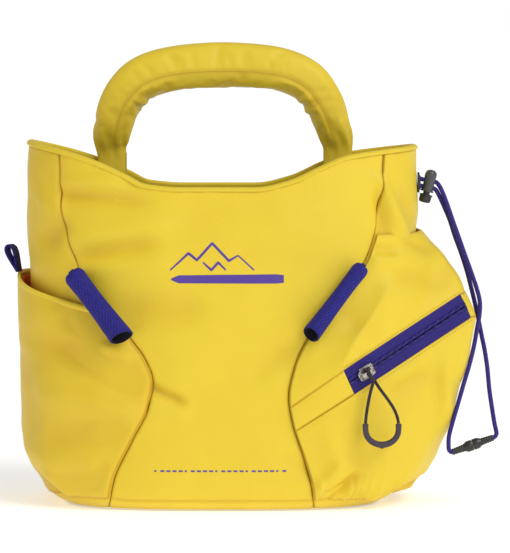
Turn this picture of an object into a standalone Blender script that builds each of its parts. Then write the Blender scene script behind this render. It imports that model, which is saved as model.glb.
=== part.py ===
"""A climber's chalk bucket: a soft yellow bag with a carry handle, two brush tubes, a side pocket,
a zipped pocket and a drawcord with its lock. Metres, +Z up, the front faces -Y, and the origin is
the middle of the flat base."""

import math

import bmesh
import bpy
from mathutils import Matrix, Vector

# Fabric layers, outside in.
SKIN = 0.0022  # coated cloth with its thin foam
POCKET_CLOTH = 0.0014
LINING = 0.0014
POCKET_LINING = 0.0006
GAP = 0.0004  # room between sewn layers
WALL_ROUNDNESS = 2.8  # exponent of the bag's rounded-box outline

# The bag's wall: height, half width, half depth.
WALL = (
    (0.000, 0.104, 0.068),
    (0.006, 0.114, 0.076),
    (0.020, 0.120, 0.080),
    (0.060, 0.124, 0.080),
    (0.100, 0.126, 0.078),
    (0.140, 0.128, 0.075),
    (0.180, 0.130, 0.070),
    (0.210, 0.1305, 0.064),
    (0.245, 0.1295, 0.058),
)
# The rim dips in the middle of the front and of the back: place across, height.
RIM = (
    (-0.130, 0.2420),
    (-0.107, 0.2370),
    (-0.084, 0.2300),
    (-0.064, 0.2215),
    (-0.050, 0.2150),
    (-0.027, 0.2130),
    (0.023, 0.2130),
    (0.045, 0.2175),
    (0.068, 0.2275),
    (0.086, 0.2340),
    (0.108, 0.2370),
    (0.130, 0.2390),
)
BACK_RIM_DROP = 0.003
HEM_RADIUS = 0.0020
# Seams of the front panel: height, place across.
LEFT_SEAM = (
    (0.000, -0.0745),
    (0.020, -0.0710),
    (0.046, -0.0590),
    (0.070, -0.0475),
    (0.086, -0.0450),
    (0.102, -0.0510),
    (0.112, -0.0585),
    (0.159, -0.0940),
    (0.176, -0.1007),
    (0.195, -0.1057),
    (0.245, -0.1080),
)
RIGHT_SEAM = (
    (0.000, 0.0610),
    (0.015, 0.0596),
    (0.034, 0.0548),
    (0.060, 0.0465),
    (0.076, 0.0442),
    (0.095, 0.0479),
    (0.110, 0.0545),
    (0.164, 0.0947),
    (0.180, 0.1007),
    (0.195, 0.1040),
    (0.245, 0.1080),
)
BACK_SEAM = 0.100
SEAM_SHARE = 1.2 * GAP  # each panel stops this far short of its seam

# The side pocket: height, half width, half depth of its own outline.
SIDE_POCKET = (
    (0.004, 0.1165, 0.0785),
    (0.013, 0.1210, 0.0830),
    (0.022, 0.1270, 0.0860),
    (0.038, 0.1335, 0.0870),
    (0.070, 0.1355, 0.0865),
    (0.110, 0.1365, 0.0845),
    (0.155, 0.1370, 0.0800),
)
SIDE_POCKET_TOP = ((0.0, 0.150), (0.45, 0.1525), (0.62, 0.147), (0.80, 0.140), (1.0, 0.131))
# The zipped pocket: height, half width, half depth of its own outline.
ZIP_POCKET = (
    (0.005, 0.1170, 0.0795),
    (0.009, 0.1280, 0.0830),
    (0.019, 0.1365, 0.0855),
    (0.032, 0.1445, 0.0870),
    (0.053, 0.1525, 0.0875),
    (0.077, 0.1590, 0.0865),
    (0.102, 0.1630, 0.0840),
    (0.124, 0.1640, 0.0815),
    (0.143, 0.1590, 0.0785),
    (0.163, 0.1490, 0.0750),
    (0.175, 0.1385, 0.0728),
    (0.183, 0.1327, 0.0718),
)
ZIP_POCKET_LOW = 0.006
ZIP_POCKET_HIGH = 0.182
POCKET_ROUNDNESS = 2.6

# The zip lies in one plane: its two ends, on the line where the teeth meet.
ZIP_START = Vector((0.0831, -0.0800, 0.0857))
ZIP_END = Vector((0.1619, -0.0350, 0.1331))
ZIP_ACROSS = 0.009  # half the width of both tapes
ZIP_FIRST = 0.115  # share of the pocket's width where the zip starts
ZIP_LAST = 0.385
TAPE = 0.0009
COIL_HALF = 0.0022
COIL_HIGH = 0.0019
SLIDER_AT = 0.0135  # from the zip's start
SLIDER_LONG = 0.0125
SLIDER_HALF = 0.0044

HANDLE_PIVOT = Vector((0.0, 0.0450, 0.2320))
# The handle's centre line, with its half width and half depth.
HANDLE = (
    (-0.0736, 0.2325, 0.0085, 0.0026),
    (-0.0735, 0.2420, 0.0095, 0.0052),
    (-0.0722, 0.2540, 0.0118, 0.0098),
    (-0.0672, 0.2700, 0.0138, 0.0128),
    (-0.0545, 0.2840, 0.0145, 0.0138),
    (-0.0300, 0.2912, 0.0142, 0.0138),
    (0.0060, 0.2925, 0.0142, 0.0138),
    (0.0390, 0.2895, 0.0143, 0.0138),
    (0.0570, 0.2820, 0.0145, 0.0138),
    (0.0680, 0.2670, 0.0135, 0.0128),
    (0.0745, 0.2520, 0.0115, 0.0098),
    (0.0775, 0.2420, 0.0098, 0.0052),
    (0.0780, 0.2325, 0.0088, 0.0026),
)
HANDLE_CLOTH = 0.0020

BRUSH_TUBE_WIDE = 0.0080  # half its width and half its depth
BRUSH_TUBE_DEEP = 0.0062
BRUSH_TUBE_LIFT = 0.0068  # from the wall, so that the pocket's edge passes under it
BRUSH_TUBE_CLOTH = 0.0014
LEFT_TUBE = ((-0.1010, 0.1625), (-0.0665, 0.1125))  # top and bottom, across and up
RIGHT_TUBE = ((0.0900, 0.1625), (0.0600, 0.1125))

CORD_RADIUS = 0.0015
LOCK_CENTRE = Vector((0.1380, -0.0080, 0.2109))
LOCK_TILT = math.radians(13.9)
LOCK_RADIUS = 0.0040
# The drawcord's two strands, from the lock to the connector.
STRAND_UPPER = (
    (0.1470, -0.0092, 0.2082),
    (0.1506, -0.0102, 0.1990),
    (0.1543, -0.0117, 0.1882),
    (0.1576, -0.0130, 0.1790),
    (0.1618, -0.0150, 0.1670),
    (0.1665, -0.0170, 0.1540),
    (0.1702, -0.0190, 0.1430),
    (0.1722, -0.0205, 0.1345),
    (0.1720, -0.0220, 0.1260),
    (0.1702, -0.0238, 0.1160),
    (0.1680, -0.0280, 0.1050),
    (0.1648, -0.0325, 0.0930),
    (0.1610, -0.0362, 0.0810),
    (0.1568, -0.0392, 0.0670),
    (0.1530, -0.0404, 0.0540),
    (0.1510, -0.0404, 0.0460),
    (0.1512, -0.0402, 0.0400),
)
STRAND_LOWER = (
    (0.1456, -0.0075, 0.2040),
    (0.1492, -0.0070, 0.1962),
    (0.1528, -0.0070, 0.1875),
    (0.1558, -0.0078, 0.1780),
    (0.1602, -0.0093, 0.1660),
    (0.1640, -0.0115, 0.1540),
    (0.1668, -0.0135, 0.1430),
    (0.1692, -0.0150, 0.1330),
    (0.1714, -0.0166, 0.1230),
    (0.1735, -0.0188, 0.1120),
    (0.1755, -0.0215, 0.1020),
    (0.1772, -0.0245, 0.0900),
    (0.1784, -0.0280, 0.0760),
    (0.1802, -0.0318, 0.0630),
    (0.1816, -0.0345, 0.0540),
    (0.1819, -0.0358, 0.0490),
)
CONNECTOR_LEFT = Vector((0.1526, -0.0398, 0.0352))
CONNECTOR_RIGHT = Vector((0.1812, -0.0365, 0.0450))

PULLER_CORD_RADIUS = 0.00105
GRIP_RADIUS = 0.0019


def clear_scene():
    for obj in list(bpy.data.objects):
        bpy.data.objects.remove(obj, do_unlink=True)


def material(name, colour, roughness, metallic=0.0):
    made = bpy.data.materials.new(name)
    made.use_nodes = True
    shader = made.node_tree.nodes["Principled BSDF"]
    shader.inputs["Base Color"].default_value = (*colour, 1.0)
    shader.inputs["Roughness"].default_value = roughness
    shader.inputs["Metallic"].default_value = metallic
    return made


def along(stations, x):
    """The value at x of a smooth curve through (x, value) stations."""
    xs = [s[0] for s in stations]
    ys = [s[1] for s in stations]
    if x <= xs[0]:
        return ys[0]
    if x >= xs[-1]:
        return ys[-1]
    i = max(k for k in range(len(xs) - 1) if xs[k] <= x)
    steps = [(ys[k + 1] - ys[k]) / (xs[k + 1] - xs[k]) for k in range(len(xs) - 1)]

    def slope(k):
        if k == 0 or k == len(xs) - 1:
            return steps[0] if k == 0 else steps[-1]
        if steps[k - 1] * steps[k] <= 0:
            return 0.0
        return 2 * steps[k - 1] * steps[k] / (steps[k - 1] + steps[k])

    width = xs[i + 1] - xs[i]
    t = (x - xs[i]) / width
    return (
        (2 * t**3 - 3 * t**2 + 1) * ys[i]
        + (t**3 - 2 * t**2 + t) * width * slope(i)
        + (3 * t**2 - 2 * t**3) * ys[i + 1]
        + (t**3 - t**2) * width * slope(i + 1)
    )


def ease(t):
    t = min(max(t, 0.0), 1.0)
    return t * t * (3 - 2 * t)


def outline(profile, roundness, angle, z, out=0.0):
    """A point of a rounded-box outline, at an angle from +X, at height z."""
    half_wide = along([(p[0], p[1]) for p in profile], z) + out
    half_deep = along([(p[0], p[2]) for p in profile], z) + out
    c, s = math.cos(angle), math.sin(angle)
    power = 2 / roundness
    x = math.copysign(abs(c) ** power, c) * half_wide
    y = math.copysign(abs(s) ** power, s) * half_deep
    return Vector((x, y, z))


def wall(angle, z, out=0.0):
    return outline(WALL, WALL_ROUNDNESS, angle, z, out)


def angle_at(x, z, back=False):
    """The angle where the wall is at x, on the front or on the back."""
    half_wide = along([(p[0], p[1]) for p in WALL], z)
    share = min(abs(x) / half_wide, 1.0) ** (WALL_ROUNDNESS / 2)
    angle = math.acos(math.copysign(share, x))
    return angle if back else -angle


def rim_height(angle, out=0.0):
    x = wall(angle, 0.235, out).x
    back = max(math.sin(angle), 0.0)
    return along(RIM, x) - BACK_RIM_DROP * back


def left_seam(z, inset=0.0):
    return angle_at(along(LEFT_SEAM, z) + inset, z)


def right_seam(z, inset=0.0):
    return angle_at(along(RIGHT_SEAM, z) + inset, z)


def new_object(name, mesh_or_curve, look, parent=None):
    obj = bpy.data.objects.new(name, mesh_or_curve)
    obj.data.materials.append(look)
    bpy.context.scene.collection.objects.link(obj)
    if parent:
        obj.parent = parent
        obj.matrix_parent_inverse = Matrix.Translation(-parent.location)
    return obj


def from_bmesh(name, bm, look, parent=None, smooth=True):
    bmesh.ops.recalc_face_normals(bm, faces=bm.faces)
    mesh = bpy.data.meshes.new(name)
    bm.to_mesh(mesh)
    bm.free()
    if smooth:
        mesh.shade_smooth()
        mesh.set_sharp_from_angle(angle=math.radians(40))
    return new_object(name, mesh, look, parent)


def thicken(obj, thickness):
    """Gives a sheet its thickness, inwards from its face."""
    solid = obj.modifiers.new("cloth", "SOLIDIFY")
    solid.thickness = thickness
    solid.offset = -1.0
    return obj


def cloth_patch(name, place, columns, rows, thickness, look):
    """A sewn panel: place(p, q) gives its outer face, p left to right seen from outside, q upwards."""
    bm = bmesh.new()
    bmesh.ops.create_grid(bm, x_segments=columns, y_segments=rows, size=0.5)
    for vert in bm.verts:
        vert.co = place(vert.co.x + 0.5, vert.co.y + 0.5)
    mesh = bpy.data.meshes.new(name)
    bm.to_mesh(mesh)
    bm.free()
    mesh.shade_smooth()
    return thicken(new_object(name, mesh, look), thickness)


SEAM_FOOT = 0.0005  # where the wall's panels start, above the floor
LOW_ROWS = 1.7  # rows of a panel stand closer together near the base, where it is rounded


def wall_panel(name, left, right, columns, rows, look):
    """A panel of the bag's wall between two seams, each an angle for a height."""
    low = SEAM_FOOT

    def place(p, q):
        z = 0.11
        for _ in range(6):
            angle = left(z) + p * (right(z) - left(z))
            high = rim_height(angle) - 2 * HEM_RADIUS - 2 * GAP
            z = low + q**LOW_ROWS * (high - low)
        angle = left(z) + p * (right(z) - left(z))
        return wall(angle, z)

    return cloth_patch(name, place, columns, rows, SKIN, look)


def build_wall(look):
    turn = 2 * math.pi
    share = SEAM_SHARE
    wall_panel("front_panel", lambda z: left_seam(z, share), lambda z: right_seam(z, -share), 14, 10, look)
    wall_panel(
        "right_side_panel",
        lambda z: right_seam(z, share),
        lambda z: angle_at(BACK_SEAM + share, z, back=True),
        10,
        10,
        look,
    )
    wall_panel(
        "back_panel",
        lambda z: angle_at(BACK_SEAM - share, z, back=True),
        lambda z: angle_at(-BACK_SEAM + share, z, back=True),
        12,
        10,
        look,
    )
    wall_panel(
        "left_side_panel",
        lambda z: angle_at(-BACK_SEAM - share, z, back=True),
        lambda z: turn + left_seam(z, -share),
        10,
        10,
        look,
    )


def plate(name, half_wide, half_deep, low, high, look):
    """A flat rounded-box plate, for the base and its stiffener."""
    bm = bmesh.new()
    bmesh.ops.create_circle(bm, cap_ends=True, segments=56, radius=1.0)
    flat = ((0.0, half_wide, half_deep), (1.0, half_wide, half_deep))
    for vert in bm.verts:
        angle = math.atan2(vert.co.y, vert.co.x)
        spot = outline(flat, WALL_ROUNDNESS, angle, 0.0)
        vert.co = Vector((spot.x, spot.y, low))
    made = bmesh.ops.extrude_face_region(bm, geom=list(bm.faces))
    raised = [v for v in made["geom"] if isinstance(v, bmesh.types.BMVert)]
    bmesh.ops.translate(bm, verts=raised, vec=(0, 0, high - low))
    return from_bmesh(name, bm, look, smooth=False)


def build_base(cloth, board):
    plate("base_panel", 0.1005, 0.0645, 0.0, SKIN, cloth)
    plate("base_stiffener", 0.0980, 0.0620, SKIN + GAP, 0.0072, board)


def build_lining(look):
    """The bucket's lining: a cup of fleece just inside the wall."""
    segments, rows = 40, 7
    low = 0.0096
    bm = bmesh.new()
    bmesh.ops.create_cone(
        bm, cap_ends=True, cap_tris=False, segments=segments, radius1=1.0, radius2=1.0, depth=1.0
    )
    upright = [e for e in bm.edges if abs(e.verts[0].co.z - e.verts[1].co.z) > 0.5]
    bmesh.ops.subdivide_edges(bm, edges=upright, cuts=rows - 1)
    lid = [f for f in bm.faces if f.calc_center_median().z > 0.49]
    bmesh.ops.delete(bm, geom=lid, context="FACES_ONLY")
    for vert in bm.verts:
        angle = math.atan2(vert.co.y, vert.co.x)
        high = rim_height(angle) - 2 * HEM_RADIUS - 0.0020
        z = low + max(vert.co.z + 0.5, 0.0) ** LOW_ROWS * (high - low)
        inset = SKIN + 0.0024 + 0.0012 * (1 - ease((z - low) / 0.03))
        vert.co = wall(angle, z, -inset)
    bmesh.ops.recalc_face_normals(bm, faces=bm.faces)
    mesh = bpy.data.meshes.new("bucket_lining")
    bm.to_mesh(mesh)
    bm.free()
    floor = min(mesh.polygons, key=lambda f: f.center.z)
    if floor.normal.z > 0:
        mesh.flip_normals()
    mesh.shade_smooth()
    thicken(new_object("bucket_lining", mesh, look), LINING)


def rope(name, points, radius, look, parent=None, closed=False, resolution=2):
    """A tube along its points, as a cord or a rolled edge has."""
    curve = bpy.data.curves.new(name, "CURVE")
    curve.dimensions = "3D"
    curve.bevel_depth = radius
    curve.bevel_resolution = resolution
    curve.use_fill_caps = not closed
    spline = curve.splines.new("POLY")
    spline.points.add(len(points) - 1)
    for point, place in zip(spline.points, points):
        point.co = (*place, 1.0)
    spline.use_cyclic_u = closed
    return new_object(name, curve, look, parent)


def smooth_route(route, spacing):
    """Points at an even spacing on a smooth curve through the route."""
    route = [Vector(p) for p in route]
    ends = [2 * route[0] - route[1], *route, 2 * route[-1] - route[-2]]
    fine = []
    for a, b, c, d in zip(ends, ends[1:], ends[2:], ends[3:]):
        for k in range(16):
            t = k / 16
            fine.append(
                0.5 * (2 * b + (c - a) * t + (2 * a - 5 * b + 4 * c - d) * t**2 + (3 * b - a - 3 * c + d) * t**3)
            )
    fine.append(route[-1])
    run = [0.0]
    for a, b in zip(fine, fine[1:]):
        run.append(run[-1] + (b - a).length)
    count = max(2, round(run[-1] / spacing))
    points, k = [], 0
    for step in range(count + 1):
        want = run[-1] * step / count
        while k < len(run) - 2 and run[k + 1] < want:
            k += 1
        share = (want - run[k]) / max(run[k + 1] - run[k], 1e-9)
        points.append(fine[k].lerp(fine[k + 1], share))
    return points


def build_rim(look):
    count = 64
    points = []
    for step in range(count):
        angle = 2 * math.pi * step / count
        spot = wall(angle, rim_height(angle), -0.0021)
        points.append(spot - Vector((0, 0, HEM_RADIUS)))
    rope("rim_hem", points, HEM_RADIUS, look, closed=True, resolution=1)


def side_pocket_face(p, z, out=0.0):
    """The side pocket's outer face: p runs from the back seam round the side to the front seam."""
    left = angle_at(-BACK_SEAM, z, back=True)
    right = 2 * math.pi + left_seam(z)
    angle = left + p * (right - left)
    belly = ease(min(p / 0.20, (1 - p) / 0.34))
    near = wall(angle, z, POCKET_CLOTH + POCKET_LINING + 2.2 * GAP + out)
    full = outline(SIDE_POCKET, WALL_ROUNDNESS, angle, z, out)
    return near.lerp(full, belly)


def build_side_pocket(cloth, lining, webbing):
    low = 0.007

    def face(out, drop, low):
        def place(p, q):
            edge = 0.004
            inner = edge + p * (1 - 2 * edge)
            high = along(SIDE_POCKET_TOP, inner) - drop
            return side_pocket_face(inner, low + q**LOW_ROWS * (high - low), out)

        return place

    cloth_patch("side_pocket", face(0.0, 0.003, low), 14, 8, POCKET_CLOTH, cloth)
    inside = face(-POCKET_CLOTH - 1.5 * GAP, 0.003, 0.040)
    cloth_patch("side_pocket_lining", inside, 14, 8, POCKET_LINING, lining)
    edge = []
    for step in range(25):
        p = 0.012 + 0.976 * step / 24
        place = side_pocket_face(p, along(SIDE_POCKET_TOP, p) - 0.0014, -0.0009)
        edge.append(place)
    rope("side_pocket_hem", edge, 0.0012, cloth, resolution=1)
    loop_of_webbing(webbing)


def loop_of_webbing(look):
    """The pull loop: a short flat webbing, folded into a drop and sewn at the pocket's mouth."""
    foot = side_pocket_face(0.47, 0.1525) + Vector((0.0004, 0, 0.0018))
    lean = math.radians(20)
    high, widest, cloth, half_width = 0.0185, 0.0040, 0.0012, 0.0040
    bm = bmesh.new()
    outer, inner = [], []
    steps = 20
    for step in range(steps):
        turn = 2 * math.pi * step / steps
        up = 0.5 - 0.5 * math.cos(turn)
        side = math.sin(turn) * (0.30 + 0.70 * up)
        outer.append((widest * 1.15 * side, high * up))
        hollow_up = 0.16 + 0.76 * up
        inner.append(((widest * 1.15 - cloth) * side * 0.86, high * hollow_up))
    rings = []
    for y in (-half_width, half_width):
        for shape in (outer, inner):
            ring = [bm.verts.new((x, y, z)) for x, z in shape]
            rings.append(ring)
    front_out, front_in, back_out, back_in = rings
    for a, b in ((front_out, front_in), (front_in, back_in), (back_in, back_out), (back_out, front_out)):
        for k in range(steps):
            n = (k + 1) % steps
            bm.faces.new((a[k], a[n], b[n], b[k]))
    obj = from_bmesh("pull_loop", bm, look)
    obj.data.transform(Matrix.Translation(foot) @ Matrix.Rotation(-lean, 4, "Y"))


def zip_frame():
    """The zip's own directions: along it, across it in its plane, and out of the bag."""
    run = (ZIP_END - ZIP_START).normalized()
    out = Vector((run.y, -run.x, 0)).normalized()
    return run, out.cross(run), out


def zip_point(distance, across, out):
    run, side, outward = zip_frame()
    return ZIP_START + run * distance + side * across + outward * out


def zip_pocket_angle(p, z):
    left = right_seam(z)
    right = angle_at(BACK_SEAM, z, back=True)
    return left + p * (right - left)


def zip_pocket_face(p, z, out=0.0):
    """The zipped pocket's outer face: p runs from the front seam round the side to the back seam."""
    belly = ease(min(p / 0.22, (1 - p) / 0.22))
    angle = zip_pocket_angle(p, z)
    near = wall(angle, z, POCKET_CLOTH + 3 * GAP + out)
    full = outline(ZIP_POCKET, POCKET_ROUNDNESS, angle, z, out)
    return near.lerp(full, belly)


def zip_line(p, across):
    """The edge along the zip's band, straight beside the zip and lying on the pocket past its ends."""
    share = (p - ZIP_FIRST) / (ZIP_LAST - ZIP_FIRST)
    _, side, outward = zip_frame()
    length = (ZIP_END - ZIP_START).length
    seat = outward * 0.0012
    if 0 <= share <= 1:
        return zip_point(share * length, across, 0) + seat
    if share < 0:
        seam_z = 0.0615 + across * 0.87
        start = zip_pocket_face(0.0, seam_z)
        return start.lerp(zip_point(0, across, 0) + seat, ease(0.5 * p / ZIP_FIRST) * 2)
    t = (p - ZIP_LAST) / (1 - ZIP_LAST)
    z = ZIP_END.z + 0.014 * ease(t * 1.3) + across * (0.87 + 0.13 * ease(t * 2))
    free = zip_pocket_face(p, z)
    held = zip_point(length, across, 0) + seat - zip_pocket_face(ZIP_LAST, ZIP_END.z + across * 0.87)
    return free + held * (1 - ease(t / 0.4))


FRONT_COLUMNS = 3  # the pocket's columns before, beside and after the zip
ZIP_COLUMNS = 5
BACK_COLUMNS = 10


def pocket_share(column):
    """Where a column of the pocket's panels stands, so that every panel's edge bends at the same places."""
    first, last = 0.004, 0.996
    if column <= FRONT_COLUMNS:
        return first + (ZIP_FIRST - first) * column / FRONT_COLUMNS
    column -= FRONT_COLUMNS
    if column <= ZIP_COLUMNS:
        return ZIP_FIRST + (ZIP_LAST - ZIP_FIRST) * column / ZIP_COLUMNS
    return ZIP_LAST + (last - ZIP_LAST) * (column - ZIP_COLUMNS) / BACK_COLUMNS


def build_zip_pocket(cloth):
    band = ZIP_ACROSS + 3 * GAP
    columns = FRONT_COLUMNS + ZIP_COLUMNS + BACK_COLUMNS

    def upper(p, q):
        p = pocket_share(p * columns)
        edge = zip_line(p, band)
        z = edge.z + q * (ZIP_POCKET_HIGH - edge.z)
        pull = edge - zip_pocket_face(p, edge.z)
        return zip_pocket_face(p, z) + pull * (1 - ease(q))

    def lower(p, q):
        p = pocket_share(p * columns)
        edge = zip_line(p, -band)
        z = ZIP_POCKET_LOW + q * (edge.z - ZIP_POCKET_LOW)
        pull = edge - zip_pocket_face(p, edge.z)
        return zip_pocket_face(p, z) + pull * ease(q)

    def strip(start, count, room):
        def place(p, q):
            share = pocket_share(start + p * count)
            share = min(max(share, room[0]), room[1])
            low, high = zip_line(share, -ZIP_ACROSS), zip_line(share, ZIP_ACROSS)
            return low.lerp(high, q)

        return place

    cloth_patch("zip_pocket_upper", upper, columns, 6, POCKET_CLOTH, cloth)
    cloth_patch("zip_pocket_lower", lower, columns, 9, POCKET_CLOTH, cloth)
    front = strip(0, FRONT_COLUMNS, (0.0, ZIP_FIRST - 0.003))
    cloth_patch("zip_end_strip_front", front, FRONT_COLUMNS, 1, POCKET_CLOTH, cloth)
    back = strip(FRONT_COLUMNS + ZIP_COLUMNS, BACK_COLUMNS, (ZIP_LAST + 0.003, 1.0))
    cloth_patch("zip_end_strip_back", back, BACK_COLUMNS, 1, POCKET_CLOTH, cloth)


def zip_bar(name, first, last, low, high, floor, ceiling, look, parent=None):
    """A straight bar in the zip's directions."""
    run, side, outward = zip_frame()
    bm = bmesh.new()
    bmesh.ops.create_cube(bm, size=1.0)
    for vert in bm.verts:
        a = first + (vert.co.x + 0.5) * (last - first)
        b = low + (vert.co.y + 0.5) * (high - low)
        c = floor + (vert.co.z + 0.5) * (ceiling - floor)
        vert.co = ZIP_START + run * a + side * b + outward * c
    return from_bmesh(name, bm, look, parent, smooth=False)


def build_zip(tape, coil):
    length = (ZIP_END - ZIP_START).length
    edge = 0.0006
    for name, sign in (("upper", 1), ("lower", -1)):
        inner, outer = sign * (COIL_HALF + 0.0003), sign * (ZIP_ACROSS - 0.0002)
        low, high = sorted((inner, outer))
        zip_bar(f"zip_tape_{name}", edge, length - edge, low, high, 0.0, TAPE, tape)
        low, high = sorted((sign * 0.00015, sign * COIL_HALF))
        zip_bar(f"zip_coil_{name}", 0.004, length - 0.004, low, high, 0.0, COIL_HIGH, coil)


def extruded(name, outline_points, start, step, look, parent=None):
    """A solid made by drawing a closed outline and pulling it along a step."""
    bm = bmesh.new()
    face = bm.faces.new([bm.verts.new(p + start) for p in outline_points])
    made = bmesh.ops.extrude_face_region(bm, geom=[face])
    moved = [v for v in made["geom"] if isinstance(v, bmesh.types.BMVert)]
    bmesh.ops.translate(bm, verts=moved, vec=step)
    return from_bmesh(name, bm, look, parent, smooth=False)


SLIDER_TOP = 0.0033
BAR_LOW = SLIDER_TOP + 0.0029
BAR_HIGH = BAR_LOW + 0.0013
BAR_MIDDLE = (BAR_LOW + BAR_HIGH) / 2


def build_slider(metal):
    run, side, outward = zip_frame()
    pivot = bpy.data.objects.new("slider_axis", None)
    pivot.location = zip_point(SLIDER_AT, 0, 0)
    bpy.context.scene.collection.objects.link(pivot)
    h, inner = SLIDER_HALF, COIL_HALF + 0.0004
    foot, roof = TAPE + 0.00035, COIL_HIGH + 0.00035
    channel = (
        (-h, foot),
        (-inner, foot),
        (-inner, roof),
        (inner, roof),
        (inner, foot),
        (h, foot),
        (h, SLIDER_TOP),
        (-h, SLIDER_TOP),
    )
    shape = [side * a + outward * b for a, b in channel]
    start = zip_point(SLIDER_AT - SLIDER_LONG / 2, 0, 0)
    extruded("zip_slider", shape, start, run * SLIDER_LONG, metal, pivot)
    base = SLIDER_TOP + 0.0003
    arch = (
        (-0.0048, base),
        (-0.0033, base),
        (-0.0033, BAR_LOW),
        (0.0033, BAR_LOW),
        (0.0033, base),
        (0.0048, base),
        (0.0048, BAR_HIGH - 0.0006),
        (0.0040, BAR_HIGH),
        (-0.0040, BAR_HIGH),
        (-0.0048, BAR_HIGH - 0.0006),
    )
    shape = [run * a + outward * b for a, b in arch]
    extruded("slider_bridge", shape, zip_point(SLIDER_AT, -0.0012, 0), side * 0.0024, metal, pivot)


def puller_route():
    """The puller's cord: up the left leg, once round the slider's bar, and down the right leg."""
    middle = zip_point(SLIDER_AT, 0, BAR_MIDDLE)
    run, side, outward = zip_frame()

    def near_bar(along_bar, across, out):
        return middle + run * along_bar + side * across + outward * out

    front = middle.y - 0.0010
    left_leg = [
        Vector((0.0945, front - 0.0010, 0.0590)),
        Vector((0.0951, front - 0.0012, 0.0650)),
        Vector((0.0963, front - 0.0014, 0.0725)),
        Vector((0.0976, front - 0.0015, 0.0790)),
    ]
    turn = [
        near_bar(-0.0012, -0.0060, 0.0022),
        near_bar(-0.0012, -0.0028, 0.0026),
        near_bar(-0.0011, 0.0000, 0.0026),
        near_bar(-0.0006, 0.0023, 0.0017),
        near_bar(0.0000, 0.0030, 0.0000),
        near_bar(0.0005, 0.0022, -0.0016),
        near_bar(0.0009, 0.0000, -0.0021),
        near_bar(0.0012, -0.0030, -0.0021),
        near_bar(0.0018, -0.0060, -0.0014),
    ]
    right_leg = [
        Vector((0.1040, front, 0.0815)),
        Vector((0.1085, front - 0.0005, 0.0755)),
        Vector((0.1128, front - 0.0008, 0.0690)),
        Vector((0.1152, front - 0.0010, 0.0635)),
        Vector((0.1162, front - 0.0010, 0.0590)),
    ]
    return left_leg + turn + right_leg


def build_puller(cord, grip):
    pivot = bpy.data.objects.new("puller_axis", None)
    pivot.location = zip_point(SLIDER_AT, 0, BAR_MIDDLE)
    bpy.context.scene.collection.objects.link(pivot)
    route = puller_route()
    rope("puller_cord", smooth_route(route, 0.0020), PULLER_CORD_RADIUS, cord, pivot)
    left, right = route[0], route[-1]
    gap = Vector((0, 0, -0.0003))
    middle = (left + right) / 2
    half = (right.x - left.x) / 2
    bend = [left + gap, left + Vector((0.0, 0, -0.0035))]
    for step in range(1, 12):
        turn = math.pi * (1 - step / 12)
        x = middle.x + half * math.cos(turn)
        z = left.z - 0.0035 - half * 0.98 * math.sin(turn)
        bend.append(Vector((x, left.y, z)))
    bend += [right + Vector((0.0, 0, -0.0035)), right + gap]
    rope("puller_grip", bend, GRIP_RADIUS, grip, pivot)


def oval_tube(name, stations, look, parent, thickness):
    """A padded tube: stations give x, z, half width in the arch's plane and half depth."""
    sides = 12
    bm = bmesh.new()
    rings = []
    for k, (x, z, wide, deep) in enumerate(stations):
        x0, z0 = stations[max(k - 1, 0)][:2]
        x1, z1 = stations[min(k + 1, len(stations) - 1)][:2]
        ahead = Vector((x1 - x0, 0, z1 - z0)).normalized()
        across = Vector((ahead.z, 0, -ahead.x))
        centre = Vector((x, HANDLE_PIVOT.y, z))
        made = bmesh.ops.create_circle(bm, segments=sides, radius=1.0, cap_ends=False)
        for vert in made["verts"]:
            local = vert.co.copy()
            vert.co = centre + across * local.x * wide + Vector((0, local.y * deep, 0))
        rings.append({e for v in made["verts"] for e in v.link_edges})
    for low, high in zip(rings, rings[1:]):
        bmesh.ops.bridge_loops(bm, edges=list(low | high))
    if thickness is None:
        bmesh.ops.holes_fill(bm, edges=list(rings[0] | rings[-1]), sides=sides)
    bmesh.ops.recalc_face_normals(bm, faces=bm.faces)
    obj = from_bmesh(name, bm, look, parent)
    return obj if thickness is None else thicken(obj, thickness)


def handle_stations(first, last, count, shrink=0.0):
    """Evenly spread stations between two shares of the handle's own list."""
    keys = [k / (len(HANDLE) - 1) for k in range(len(HANDLE))]
    columns = [[(key, row[c]) for key, row in zip(keys, HANDLE)] for c in range(4)]
    made = []
    for step in range(count):
        at = first + (last - first) * step / (count - 1)
        x, z, wide, deep = (along(column, at) for column in columns)
        made.append((x, z, wide - shrink, deep - shrink))
    return made


def build_handle(cloth, foam, webbing):
    pivot = bpy.data.objects.new("handle_axis", None)
    pivot.location = HANDLE_PIVOT
    bpy.context.scene.collection.objects.link(pivot)
    cover = handle_stations(0.03, 0.97, 26)
    wrap = oval_tube("handle_cover", cover, cloth, pivot, None)
    hollow(wrap, handle_stations(0.0, 1.0, 26, HANDLE_CLOTH))
    core = handle_stations(0.16, 0.84, 18, HANDLE_CLOTH + 0.0006)
    oval_tube("handle_core", core, foam, pivot, None)
    for name, row in (("left", HANDLE[0]), ("right", HANDLE[-1])):
        tab_of_webbing(f"handle_tab_{name}", row[0], webbing)


def hollow(obj, stations):
    """Cuts the tube's inside away, out past both its ends."""
    first, last = stations[0], stations[-1]
    low = (first[0], first[1] - 0.004, first[2], 0.0008)
    far = (last[0], last[1] - 0.004, last[2], 0.0008)
    shape = [low, *[(x, z, w, max(d, 0.0008)) for x, z, w, d in stations], far]
    cutter = oval_tube("handle_hollow", shape, obj.data.materials[0], obj.parent, None)
    cutter.hide_render = True
    cutter.display_type = "WIRE"
    cut = obj.modifiers.new("hollow", "BOOLEAN")
    cut.operation = "DIFFERENCE"
    cut.solver = "EXACT"
    cut.object = cutter


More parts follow.
